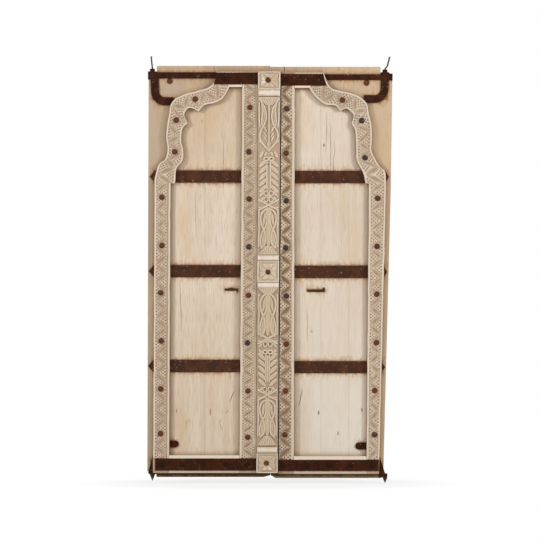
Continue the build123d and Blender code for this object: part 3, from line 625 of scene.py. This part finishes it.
def stile_piece(node, sides, low, high, edges, housings, straps, zigzag, finish):
    """Carved upright of the applied frame.

    edges: widths of the raised edges, left and right, and of the plain ground beside each.
    housings: heights between which the wood is let down under a rail or strap.
    zigzag: depth, breadth and pitch of the hollows, and the height where they turn at the left side.
    """
    name = node + "_carved"
    body = leaf_of(node)
    depth, broad, pitch, anchor = zigzag
    rows = int((high - low) / 1.5)
    cols = 46
    z = np.linspace(low, high, rows)[:, None] * np.ones((1, cols))
    share = np.linspace(0, 1, cols)[None] * np.ones((rows, 1))
    left, right = sides[0](z), sides[1](z)
    wobble = smooth_noise((rows, 2), (rows // 30, 1), len(name) * 3)
    left = left + wobble[:, :1] * 0.5
    right = right + wobble[:, 1:] * 0.5
    x = left + (right - left) * share
    from_left, from_right = x - left, right - x
    start, end = edges[0] + edges[2], edges[1] + edges[3]
    half = (right - left - start - end) / 2
    t = x - (left + start + half)
    inside = np.abs(t) < half
    ahead = ON_BAND - np.where(inside, carved_band(z - anchor, t, half, depth, broad, pitch), 1.2)
    ahead = clear_nails(x, z, ahead)
    ahead += raised_edge(from_left, edges[0], EDGE_HIGH) + raised_edge(from_right, edges[1], EDGE_HIGH)
    ahead += smooth_noise(x.shape, (rows // 12, 12), len(name)) * UNEVEN
    for a, b in housings:
        ahead = np.where((z > a) & (z < b), RAIL_RELIEF, ahead)
    ahead[:, 0] -= 1.2
    ahead[:, -1] -= 1.2
    back = np.zeros(rows)
    for a, b in straps:
        back[(z[:, 0] > a) & (z[:, 0] < b)] = STRAP_THICK
    made = relief(name, x, z, ahead, back[:, None], finish)
    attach(made, body)
    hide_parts(node)


def spans(straps):
    """Foot and head height of each strap."""
    return [(z - half, z + half) for z, half in straps]


stile_piece("left_outer_stile", LEFT_OUTER, 20, ARCH_FOOT, (8, 9, 0, 7), [(0, LEFT_BOTTOM_STRAP[1])],
            spans(LEFT_STRAPS), (2.4, 25, 39.9, 456.6), CARVED)
stile_piece("left_inner_stile", LEFT_INNER, 20, LEFT_HEAD, (10, 0, 1, 13),
            [(0, LEFT_BOTTOM_STRAP[1]), (LEFT_TOP_STRAP[0], LEAF_TOP)], spans(LEFT_STRAPS),
            (2.8, 24, 34.8, 195.7), CARVED)
stile_piece("right_inner_stile", RIGHT_INNER, 16, RIGHT_HEAD, (0, 12, 2, 1),
            [(0, RIGHT_BOTTOM_STRAP[1]), (RIGHT_TOP_STRAP[0], LEAF_TOP)], spans(RIGHT_STRAPS),
            (3.6, 29, 44.4, 176.5), CARVED_DARK)
stile_piece("right_outer_stile", RIGHT_OUTER, 16, ARCH_FOOT, (9, 8, 1, 1), [(0, RIGHT_BOTTOM_STRAP[1])],
            spans(RIGHT_STRAPS), (2.4, 26, 41.8, 82.1), CARVED)


def run_length(points):
    """Distance along a run of points, from its start to each point."""
    return np.r_[0, np.cumsum(np.hypot(*np.diff(np.asarray(points, float), axis=0).T))]


def along_run(at, run, points):
    """Places at given distances along a run of points."""
    return np.stack([np.interp(at, run, points[:, 0]), np.interp(at, run, points[:, 1])], -1)


def curve_through(points, count):
    """Evenly spaced places on a smooth curve through the given points."""
    given = np.asarray(points, float)
    padded = np.vstack([2 * given[0] - given[1], given, 2 * given[-1] - given[-2]])
    fine = []
    for i in range(len(given) - 1):
        p0, p1, p2, p3 = padded[i:i + 4]
        t = np.linspace(0, 1, 24, endpoint=i == len(given) - 2)[:, None]
        fine.append(0.5 * (2 * p1 + (p2 - p0) * t + (2 * p0 - 5 * p1 + 4 * p2 - p3) * t ** 2
                           + (3 * p1 - p0 - 3 * p2 + p3) * t ** 3))
    fine = np.vstack(fine)
    run = run_length(fine)
    return along_run(np.linspace(0, run[-1], count), run, fine)


def row_count(part):
    """Number of mesh rows for a stretch of the bracket, about 1.6 mm apart along its middle."""
    middle = [((a[0] + b[0]) / 2, (a[1] + b[1]) / 2) for a, b in part]
    return max(6, int(run_length(middle)[-1] / 1.6))


def curve_sections(stations, cusps):
    """Both edges of the bracket as smooth curves, with a sharp point at each cusp of the inner edge."""
    outer = curve_through([b for a, b in stations], 400)
    run = run_length(outer)
    marks = [run[np.argmin(np.hypot(*(outer - b).T))] for a, b in stations]
    breaks = [0] + cusps + [len(stations) - 1]
    inner, row_marks = [], []
    for first, last in zip(breaks, breaks[1:]):
        part = stations[first:last + 1]
        edge = [a for a, b in part]
        count = row_count(part)
        end = None if last == len(stations) - 1 else -1
        inner.append(curve_through(edge, count)[:end])
        steps = run_length(edge)
        row_marks.append(np.interp(np.linspace(0, steps[-1], count), steps, marks[first:last + 1])[:end])
    return np.vstack(inner), along_run(np.concatenate(row_marks), run, outer)


# Stations of the arch brackets, as points of the inner and the outer edge from the head to the foot
LEFT_STATIONS = [((-180, 1715), (-236, 1782)), ((-209, 1666), (-250, 1734)), ((-245, 1645), (-274, 1712)),
                 ((-289, 1635), (-307, 1702)), ((-316, 1607), (-338, 1693)), ((-340, 1620), (-362, 1688)),
                 ((-358, 1622), (-391, 1677)), ((-374, 1607), (-419, 1662)), ((-378, 1586), (-439, 1635)),
                 ((-363, 1555), (-446, 1589)), ((-387, 1531), (-453, 1553)), ((-392, 1476), (-458, 1494)),
                 ((-384, 1440), (-452, 1444)), ((-386, 1393), (-461, 1400)), ((-413, 1356), (-490, 1374)),
                 ((-418, 1306), (-508, 1315)), ((-421, 1291), (-509, 1291))]
RIGHT_STATIONS = [((170, 1711), (233, 1778)), ((195, 1674), (249, 1736)), ((240, 1639), (268, 1710)),
                  ((284, 1633), (303, 1698)), ((307, 1609), (336, 1691)), ((324, 1618), (358, 1685)),
                  ((337, 1619), (382, 1677)), ((362, 1597), (408, 1659)), ((364, 1580), (424, 1638)),
                  ((356, 1554), (432, 1596)), ((372, 1523), (443, 1548)), ((376, 1471), (445, 1486)),
                  ((377, 1433), (443, 1438)), ((378, 1397), (457, 1403)), ((391, 1368), (480, 1365)),
                  ((407, 1337), (503, 1343)), ((418, 1291), (507, 1291))]
CUSPS = [4, 9]


def arch_piece(node, stations, strap, strap_end):
    """Carved cusped bracket with raised edges; its head is let down under the top strap."""
    name = node + "_carved"
    body = leaf_of(node)
    strap_low, strap_high = strap
    inner, outer = curve_sections(stations, CUSPS)
    rows, cols = len(inner), 50
    share = np.linspace(0, 1, cols)[None, :, None]
    place = inner[:, None] + (outer - inner)[:, None] * share
    width = np.hypot(*(outer - inner).T)[:, None]
    from_inner = width * share[..., 0]
    from_outer = width - from_inner
    middle = (inner + outer) / 2
    s = run_length(middle)
    count = round(s[-1] / ARCH_PITCH)
    s = (s * ARCH_PITCH * count / s[-1])[:, None] * np.ones((1, cols))
    half = width / 2 - 9.5
    t = from_inner - width / 2
    inside = np.abs(t) < half
    ahead = ON_BAND - np.where(inside, carved_band(s, t, half, 2.4, 26, ARCH_PITCH), 1.0)
    x, z = place[..., 0], place[..., 1]
    ahead = clear_nails(x, z, ahead)
    ahead += raised_edge(from_inner, 8, EDGE_HIGH) + raised_edge(from_outer, 8, EDGE_HIGH)
    ahead += smooth_noise(s.shape, (rows // 12, 12), len(name)) * UNEVEN
    under = (z > strap_low) & (z < strap_high) & (np.abs(x) < strap_end + (strap_high - z) * 0.2)
    ahead = np.where(under, RAIL_RELIEF, ahead)
    made = relief(name, x, z, ahead, np.zeros((rows, 1)), CARVED)
    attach(made, body)
    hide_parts(node)


arch_piece("left_arch_bracket", LEFT_STATIONS, LEFT_TOP_STRAP, 239)
arch_piece("right_arch_bracket", RIGHT_STATIONS, RIGHT_TOP_STRAP, 232)


# Astragal
ASTRAGAL_FACE = 36.0
BLOCK_FACE = 40.0
COLLAR_FACE = 42.0
FIELD_SINK = 6.0
BROADER = 1.8           # ridges are this much wider than the strokes measured
COLLARS = [(1674, 1704), (951, 977), (832, 857), (108, 136)]
BLOCKS = [(1704, 1782), (858, 950), (20, 107)]


def height_at(pixel_row):
    """Height in millimetres of a row of the photograph."""
    return (FOOT_ROW - pixel_row) * PIXEL


def distance_to(u, z, points):
    """Distance from every place to a run of straight pieces."""
    best = np.full(u.shape, 1e9)
    for (u0, z0), (u1, z1) in zip(points, points[1:]):
        du, dz = u1 - u0, z1 - z0
        t = np.clip(((u - u0) * du + (z - z0) * dz) / (du * du + dz * dz), 0, 1)
        best = np.minimum(best, np.hypot(u - u0 - t * du, z - z0 - t * dz))
    return best


class Carving:
    """Height field of raised ridges and leaves, mirrored about the astragal's middle."""

    def __init__(self, u, z):
        self.u, self.z = np.abs(u), z
        self.signed = u
        self.field = np.zeros(u.shape)

    def ridge(self, points, width, height=FIELD_SINK, smooth=10):
        """Rounded ridge along a curve; points are pixels from the middle and photo rows."""
        real = [(x * PIXEL, height_at(row)) for x, row in points]
        if len(real) > 2:
            real = curve_through(real, smooth * len(real) // 2).tolist()
        away = distance_to(self.u, self.z, real)
        body = np.sqrt(np.clip(1 - (away / (width * BROADER)) ** 2, 0, 1))
        self.field = np.maximum(self.field, height * body)

    def leaf(self, start, end, width, height=FIELD_SINK, crease=0.35):
        """Raised lens from start to end with a crease down its middle."""
        (x0, r0), (x1, r1) = start, end
        u0, z0, u1, z1 = x0 * PIXEL, height_at(r0), x1 * PIXEL, height_at(r1)
        du, dz = u1 - u0, z1 - z0
        length = math.hypot(du, dz)
        along = ((self.u - u0) * du + (self.z - z0) * dz) / length ** 2
        off = np.abs((self.u - u0) * dz - (self.z - z0) * du) / length
        lens = width * np.clip(1 - (2 * along - 1) ** 2, 0, 1) ** 0.6 + 1e-6
        body = np.clip(1 - (off / lens) ** 2, 0, 1) ** 0.5 * (1 - crease * np.exp(-(off / 1.6) ** 2))
        self.field = np.maximum(self.field, np.where((along > 0) & (along < 1), height * body, 0))

    def ring(self, x, row, half_wide, half_high, width, height=FIELD_SINK):
        u0, z0 = x * PIXEL, height_at(row)
        a, b = half_wide * PIXEL, half_high * PIXEL
        reach = np.hypot((self.u - u0) / a, (self.z - z0) / b)
        away = np.abs(reach - 1) * min(a, b)
        self.field = np.maximum(self.field, height * np.sqrt(np.clip(1 - (away / width) ** 2, 0, 1)))

    def pit(self, x, row, radius, depth):
        away = np.hypot(self.signed - x * PIXEL, self.z - height_at(row))
        self.field -= depth * np.clip(1 - (away / radius) ** 2, 0, 1)


def fan(c, foot, rim):
    """Flared end of a shaft with flutes, where it meets its collar."""
    share = np.clip((height_at(foot) - c.z) / (height_at(foot) - height_at(rim)), 0, 1)
    inside = (c.z - height_at(foot)) * (c.z - height_at(rim)) < 0
    spread = (4.0 + 6.8 * share) * PIXEL
    flutes = np.abs(np.sin(c.u / spread * math.pi * 3.5)) ** 0.7
    body = 7.2 - 3.0 * (1 - flutes) * (share < 0.8)
    c.field = np.where(inside & (c.u < spread), np.maximum(c.field, body), c.field)


def lyre(c, top, bottom):
    """Crossing ribbons that close an oval above and open round a leaf below, beside a wide spine."""
    span = bottom - top

    def down(points):
        return [(x, top + share * span) for x, share in points]

    c.leaf((0, top + span * 0.25), (0, bottom + 1), 15.0, 5.0, 0.0)
    c.ridge([(0, top + 1), (0, top + span * 0.5)], 6.0, 6.0)
    c.ridge(down([(0.8, 0.0), (4.4, 0.04), (7.3, 0.13), (8.2, 0.25), (7.3, 0.4), (5.2, 0.52), (3.7, 0.64),
                  (3.2, 0.8), (4.2, 0.93), (7.2, 1.02)]), 3.2, 6.8, 14)
    c.ridge(down([(1.7, 0.06), (1.6, 0.3), (2.8, 0.45), (5.3, 0.56), (7.6, 0.7), (8.3, 0.84), (7.6, 0.98)]),
            2.8, 6.2, 14)
    c.leaf(*down([(3.0, 0.07), (5.4, 0.45)]), 7.0, 4.2)
    c.leaf(*down([(5.0, 0.62), (6.0, 0.98)]), 6.5, 4.2)
    c.ridge(down([(9.8, 0.02), (10.2, 0.3), (9.4, 0.5), (10.2, 0.75), (10.0, 0.98)]), 3.0, 4.6)


def herringbone(c, top, bottom, rising):
    """Feather leaves that meet along a central trough; rising ones climb towards the middle."""
    pitch = 6.4
    row = top
    while row < bottom:
        outer, inner = (row + 7.5, row) if rising else (row, row + 7.5)
        c.leaf((9.9, outer), (2.0, inner), 9.5, 6.0, 0.3)
        row += pitch
    c.ridge([(1.9, top + 2), (1.9, bottom)], 2.2, 5.0)


def curls(c, row, up):
    """Pair of small volutes on both sides of the middle."""
    turn = 1 if up else -1
    c.ring(2.7, row, 2.2, 2.4, 2.6, 6.0)
    c.ridge([(0.2, row + 4 * turn), (2.6, row + 2 * turn)], 2.4, 5.0)
    c.leaf((9.5, row + 3.5), (4.6, row - 3.0), 6.0, 5.0)


def cross(c, row):
    """Two bands that cross the shaft in an X."""
    c.ridge([(9.8, row + 5), (0, row)], 2.8, 6.5)
    c.ridge([(9.8, row - 5), (0, row)], 2.8, 6.5)
    c.ridge([(9.8, row + 2.5), (0.5, row + 3)], 2.0, 4.0)


def rosette(u, z, middle, half_wide, half_high):
    """Heights of a framed square with eight petals round the nail, above its sunk ground."""
    du, dz = u, z - middle
    radius = np.hypot(du, dz)
    sector = np.abs((np.arctan2(dz, du) / (math.pi / 4)) % 1 - 0.5) * 2
    diagonal = np.abs(np.sin(2 * np.arctan2(dz, du)))
    reach = np.maximum(np.abs(du) / half_wide, np.abs(dz) / half_high)
    gap = np.clip((1 - sector) * 3.2 + 0.35 * (diagonal < 0.5), 0, 1)
    tip = 0.80 - 0.14 * sector ** 2
    rise = 0.75 + 0.25 * np.clip(radius / 24, 0, 1)
    petal = 4.6 * np.clip((tip - reach) * 9, 0, 1) ** 0.5 * gap ** 0.5 * rise
    border = 4.4 * np.clip(1 - np.abs(reach - 0.93) / 0.075, 0, 1) ** 0.4
    return np.maximum(petal, border)


def upper_shaft(c):
    """Palm with coiled ribbons, feathers, curls and ribbons, between the top and middle blocks."""
    fan(c, 105, 97.2)
    c.ridge([(10, 99), (7, 103), (4.5, 108), (3.1, 113), (2.9, 118), (3.8, 122), (5.6, 126), (8, 130),
             (9.3, 135), (9, 139), (6.5, 143.5), (3.5, 147), (0, 149.5)], 2.9, 6.5, 14)
    c.ridge([(7.4, 103.5), (6.3, 110), (6.9, 116), (7.4, 121), (6.8, 125.5), (5, 127.5)], 2.6, 6.0)
    c.ridge([(10.3, 103), (10.4, 112), (10, 120), (9, 127)], 2.4, 5.5)
    c.ridge([(5, 107), (4.8, 113), (5.2, 119), (5.6, 123)], 1.8, 4.0)
    c.ridge([(0, 103), (0, 141.5)], 3.3, 6.5)
    for row in (133, 138, 142):
        c.leaf((1.7, row), (5.3, row - 6.5), 4.4, 5.5)
    c.leaf((0, 141.5), (0, 148), 10.0, 7.5, 0.0)
    c.ridge([(9.6, 141), (4.6, 145.6), (0, 151)], 2.6, 6.0)
    c.leaf((9.3, 158), (5.8, 151), 7.0, 6.0)
    c.leaf((4.6, 156.5), (1.8, 151.5), 5.5, 5.0)
    c.ring(2.7, 159, 2.3, 1.7, 3.6, 7.0)
    herringbone(c, 159.5, 188, True)
    curls(c, 193.5, True)
    curls(c, 199.5, False)
    cross(c, 205)
    lyre(c, 209, 247)
    fan(c, 246, 254.6)


def lower_shaft(c):
    """The same figures upside down, between the middle and foot blocks."""
    fan(c, 295, 287.6)
    lyre(c, 294, 335)
    cross(c, 338.5)
    curls(c, 344, False)
    c.ring(2.7, 352, 2.3, 1.7, 3.6, 7.0)
    c.leaf((9.3, 349), (4.6, 355.5), 7.0, 6.0)
    herringbone(c, 353, 382, False)
    c.ridge([(0, 357), (0, 381)], 3.0, 6.0)
    curls(c, 389.5, True)
    cross(c, 395)
    lyre(c, 400, 436)
    fan(c, 436, 445.4)


def astragal_piece():
    """Carved cover strip: rosette blocks, plain collars and two carved shafts."""
    low, high = 20.0, LEFT_HEAD
    rows, cols = int((high - low) / 1.45), 76
    z = np.linspace(low, high, rows)[:, None] * np.ones((1, cols))
    share = np.linspace(0, 1, cols)[None] * np.ones((rows, 1))
    left, right = ASTRAGAL[0](z), ASTRAGAL[1](z)
    x = left + (right - left) * share
    middle = (left + right) / 2
    half = (right - left) / 2
    u = (x - middle) / half * 50.0
    c = Carving(u, z)
    upper_shaft(c)
    lower_shaft(c)
    c.pit(-0.7, 164.3, 4.0, 9.0)
    c.pit(-2.2, 344, 3.0, 6.0)
    c.pit(2.0, 344, 3.0, 6.0)
    edge = np.minimum(x - left, right - x)
    roll = np.clip(edge / 7.0, 0, 1)
    ahead = ASTRAGAL_FACE - FIELD_SINK + np.clip(c.field, -9, 8)
    ahead -= (np.abs(u) / 50.0) ** 3 * 3.0
    ahead -= 7.0 * (1 - np.sqrt(np.clip(1 - (1 - roll) ** 2, 0, 1)))
    for a, b in COLLARS:
        swell = np.sqrt(np.clip(np.sin(np.clip((z - a) / (b - a), 0, 1) * math.pi), 0, 1))
        collar = np.where(edge > 2.5, COLLAR_FACE - 5.5 + 4.5 * swell, RAIL_RELIEF + 11)
        ahead = np.where((z > a) & (z < b), collar, ahead)
    for a, b in BLOCKS:
        flower = rosette(x - middle, z, (a + b) / 2, half, (b - a) / 2)
        ahead = np.where((z > a) & (z < b), BLOCK_FACE - 5 + flower, ahead)
    ahead += smooth_noise(x.shape, (rows // 14, 8), 21) * 0.35
    ahead = np.minimum(ahead, COLLAR_FACE)
    made = relief("astragal_carved", x, z, ahead, np.zeros((rows, 1)), ASTRAGAL_WOOD)
    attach(made, "left_leaf")
    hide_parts("astragal")


astragal_piece()


# Nails
def nail_heads(name, node, places, seat, size, finish, seed):
    """Hammered heads, each a little different in radius, height and lean."""
    body = leaf_of(node)
    radius, height = size
    source = np.random.default_rng(seed)
    rings, sides = 9, 26
    vertices, faces = [], []
    turn = np.linspace(0, 2 * math.pi, sides, endpoint=False)
    for x, z in places:
        wide = radius * source.uniform(0.95, 1.0)
        tall = height * source.uniform(0.8, 0.97)
        lean = source.normal(0, 0.05, 2)
        uneven = 1 + 0.03 * np.cos(2 * turn + source.uniform(0, 6))
        uneven += 0.02 * np.cos(5 * turn + source.uniform(0, 6))
        first = len(vertices)
        for ring in range(rings):
            angle = math.pi / 2 * ring / rings
            reach = wide * math.cos(angle) * uneven
            dx, dz = reach * np.cos(turn), reach * np.sin(turn)
            tilt = (dx * lean[0] + dz * lean[1]) * math.sin(angle)
            up = np.clip(tall * math.sin(angle) ** 0.9 + tilt, 0, height)
            vertices += np.stack([x + dx, -(seat + up), z + dz], -1).tolist()
            if ring:
                a = first + (ring - 1) * sides
                faces += [(a + k, a + (k + 1) % sides, a + sides + (k + 1) % sides, a + sides + k)
                          for k in range(sides)]
        top = first + (rings - 1) * sides
        vertices.append([x, -(seat + tall), z])
        faces += [(top + k, top + (k + 1) % sides, len(vertices) - 1) for k in range(sides)]
        faces.append(list(range(first + sides - 1, first - 1, -1)))
    made = solid_mesh(name, vertices, faces, finish)
    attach(made, body)
    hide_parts(node)


DOME, FLAT = (13, 9), (12, 3)
ON_END_STRAP = RAIL_RELIEF + STRAP_THICK
LEFT_FLATS = [(-203, 1753), (-88, 1757), (-480, 57), (-389, 57), (-289, 57), (-196, 57), (-101, 57)]
RIGHT_FLATS = [(68, 1744), (214, 1749), (57, 53), (161, 53), (256, 53), (356, 53), (448, 53)]
NAIL_GROUPS = [("left_domes", "left_dome_nails", LEFT_DOMES, ON_BAND, DOME, NAIL),
               ("left_domes_worn", "left_dome_nails", LEFT_SHINY, ON_BAND, DOME, SHINY_NAIL),
               ("left_dome_on_board", "left_dome_nails", [(-443, 1741)], 0, DOME, NAIL),
               ("right_domes", "right_dome_nails", RIGHT_DOMES, ON_BAND, DOME, NAIL),
               ("right_domes_worn", "right_dome_nails", RIGHT_SHINY, ON_BAND, DOME, SHINY_NAIL),
               ("right_dome_on_board", "right_dome_nails", [(423, 1734)], 0, DOME, NAIL),
               ("astragal_domes", "astragal_nails", [(-11, 1744), (-11, 902), (-18, 64)], ASTRAGAL_FACE,
                DOME, NAIL),
               ("left_flat_heads", "left_strap_nails", LEFT_FLATS, ON_END_STRAP, FLAT, FLAT_NAIL),
               ("right_flat_heads", "right_strap_nails", RIGHT_FLATS, ON_END_STRAP, FLAT, FLAT_NAIL)]
for seed, group in enumerate(NAIL_GROUPS, 1):
    nail_heads(*group, seed)


# Flat irons with edges eaten by rust
def plate(node, points, back, seed):
    """Flat iron on an outline of x, z points; the edge wanders inwards and is rounded over."""
    body = leaf_of(node)
    source = np.random.default_rng(seed)
    corners = np.asarray(points, float)
    edge = []
    for a, b in zip(corners, np.roll(corners, -1, 0)):
        count = max(2, int(np.hypot(*(b - a)) / 3.0))
        edge += [a + (b - a) * k / count for k in range(count)]
    edge = np.array(edge)
    n = len(edge)
    run = np.roll(edge, -1, 0) - np.roll(edge, 1, 0)
    area = np.sum(edge[:, 0] * np.roll(edge[:, 1], -1) - edge[:, 1] * np.roll(edge[:, 0], -1))
    inward = np.stack([-run[:, 1], run[:, 0]], -1) / np.hypot(*run.T)[:, None] * np.sign(area)
    rough = np.abs(np.convolve(np.r_[source.normal(size=n + 6)], np.ones(3) / 3, "same")[3:n + 3])
    rough = rough * 0.8 + (source.random(n) > 0.95) * 0.9
    rings = []
    for inset, ahead in ((0, 0.0), (0, STRAP_THICK - 1.2), (0.5, STRAP_THICK - 0.3), (1.4, STRAP_THICK)):
        place = edge + inward * (rough + inset)[:, None]
        rings.append(np.stack([place[:, 0], np.full(n, -(back + ahead)), place[:, 1]], -1))
    vertices = np.vstack(rings)
    if area < 0:
        order = np.arange(n)[::-1]
        vertices = np.vstack([ring[order] for ring in rings])
    faces = [(r * n + k, r * n + (k + 1) % n, (r + 1) * n + (k + 1) % n, (r + 1) * n + k)
             for r in range(3) for k in range(n)]
    faces += [list(range(3 * n, 4 * n)), list(range(n))[::-1]]
    made = solid_mesh(node + "_iron", vertices, faces, DARK_STRAP if back else STRAP, smooth=False)
    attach(made, body)
    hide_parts(node)


def mid_strap(tip, root, end, z, half):
    """Outline of a strap across the boards, with a pointed tip at the leaf's outer edge."""
    return [(tip, z), (root, z - half), (end, z - half), (end, z + half), (root, z + half)]


def end_strap(corners, span):
    """Outline of an end strap from its corners: x, and 0 for the strap's foot or 1 for its head."""
    return [(x, span[end]) for x, end in corners]


# Outline of each flat iron, and the distance of its back ahead of the boards
PLATES = {
    "left_strap_upper": (mid_strap(-532, -510, -72, *LEFT_STRAPS[0]), 0),
    "left_strap_middle": (mid_strap(-536, -515, -72, *LEFT_STRAPS[1]), 0),
    "left_strap_lower": (mid_strap(-539, -517, -72, *LEFT_STRAPS[2]), 0),
    "right_strap_upper": (mid_strap(522, 506, 62, *RIGHT_STRAPS[0]), 0),
    "right_strap_middle": (mid_strap(514, 497, 60, *RIGHT_STRAPS[1]), 0),
    "right_strap_lower": (mid_strap(505, 486, 58, *RIGHT_STRAPS[2]), 0),
    "left_top_strap": (end_strap([(-239, 1), (-248, 0), (-55, 0), (-55, 1)], LEFT_TOP_STRAP), RAIL_RELIEF),
    "right_top_strap": (end_strap([(246, 0), (232, 1), (48, 1), (48, 0)], RIGHT_TOP_STRAP), RAIL_RELIEF),
    "left_bottom_strap": (end_strap([(-507, 0), (-62, 0), (-62, 1), (-507, 1)], LEFT_BOTTOM_STRAP),
                          RAIL_RELIEF),
    "right_bottom_strap": (end_strap([(36, 0), (476, 0), (476, 1), (36, 1)], RIGHT_BOTTOM_STRAP),
                           RAIL_RELIEF),
    "left_latch_staple": ([(-201, 820), (-201, 829), (-182, 830), (-178, 834), (-168, 834), (-164, 830),
                           (-144, 829), (-144, 811), (-149, 811), (-149, 820)], 0),
    "right_latch_staple": ([(161, 815), (161, 824), (229, 826), (232, 834), (239, 834), (239, 814)], 0)}
for index, (node, (points, back)) in enumerate(PLATES.items()):
    plate(node, points, back, 40 + index)

# Stage
FOCUS_X, FOCUS_Z = -2.2, 910.9
CAMERA_AWAY = 12000.0
SENSOR = 36.0


def seen_directly(g):
    """1 for camera, glossy and transmission rays, which see the white room."""
    path = g.node("LightPath")
    return g.math("MAXIMUM", path.outputs["Is Camera Ray"],
                  g.math("MAXIMUM", path.outputs["Is Glossy Ray"], path.outputs["Is Transmission Ray"]))


def floor_material():
    """Pale floor that keeps the shadow and turns white away from the leaves."""
    made, g, shader, place = material("Pale floor")
    shader.inputs["Base Color"].default_value = (0.9, 0.9, 0.9, 1)
    shader.inputs["Roughness"].default_value = 0.9
    seen = seen_directly(g)
    apart = g.node("VectorMath", {"operation": "LENGTH"})
    narrowed = g.node("Mapping")
    g.put(narrowed.inputs["Vector"], place)
    narrowed.inputs["Scale"].default_value = (1.35, 3.2, 0.0)
    g.put(apart.inputs[0], narrowed.outputs[0])
    far = g.ramp(apart.outputs["Value"], 0.8, 1.25, 0.75, 1.0)
    white = g.node("Emission", Strength=1.0)
    mixed = g.node("MixShader")
    g.put(mixed.inputs[0], g.math("MULTIPLY", seen, far))
    made.node_tree.links.new(shader.outputs[0], mixed.inputs[1])
    made.node_tree.links.new(white.outputs[0], mixed.inputs[2])
    made.node_tree.links.new(mixed.outputs[0], made.node_tree.nodes["Material Output"].inputs["Surface"])
    return made


def stage():
    """Pale floor under the foot spikes, and a white world."""
    level = cad_box[0][2] - 0.0005
    mesh = bpy.data.meshes.new("floor")
    reach = 30.0
    mesh.from_pydata([(-reach, -reach, level), (reach, -reach, level), (reach, reach, level),
                      (-reach, reach, level)], [], [(0, 1, 2, 3)])
    mesh.materials.append(floor_material())
    floor = bpy.data.objects.new("floor", mesh)
    bpy.context.scene.collection.objects.link(floor)

    world = bpy.data.worlds.new("White room")
    world.use_nodes = True
    g = Graph(world.node_tree)
    background = world.node_tree.nodes["Background"]
    seen = seen_directly(g)
    background.inputs["Color"].default_value = (1, 1, 1, 1)
    g.put(background.inputs["Strength"], g.ramp(seen, 0.0, 1.0, 0.45, 1.0))
    bpy.context.scene.world = world


def lamp(name, place, aim, size, power):
    data = bpy.data.lights.new(name, "AREA")
    data.shape = "RECTANGLE"
    data.size, data.size_y = size
    data.energy = power
    made = bpy.data.objects.new(name, data)
    made.location = place
    bpy.context.scene.collection.objects.link(made)
    direction = np.array(aim) - np.array(place)
    made.rotation_euler = Vector(direction).to_track_quat("-Z", "Y").to_euler()


stage()
for side, across in (("left", -3.2), ("right", 3.2)):
    lamp(side + "_soft_lamp", (across, -2.6, 2.5), (0, 0, 0.9), (0.6, 0.6), 79)

camera_data = bpy.data.cameras.new("camera")
camera_data.sensor_width = SENSOR
camera_data.lens = SENSOR * CAMERA_AWAY / (PICTURE * PIXEL)
camera = bpy.data.objects.new("camera", camera_data)
camera.location = (FOCUS_X * MM, -(CAMERA_AWAY + STILE_RELIEF) * MM, FOCUS_Z * MM)
camera.rotation_euler = (math.pi / 2, 0, 0)
bpy.context.scene.collection.objects.link(camera)
bpy.context.scene.camera = camera
bpy.context.scene.view_settings.view_transform = "Standard"
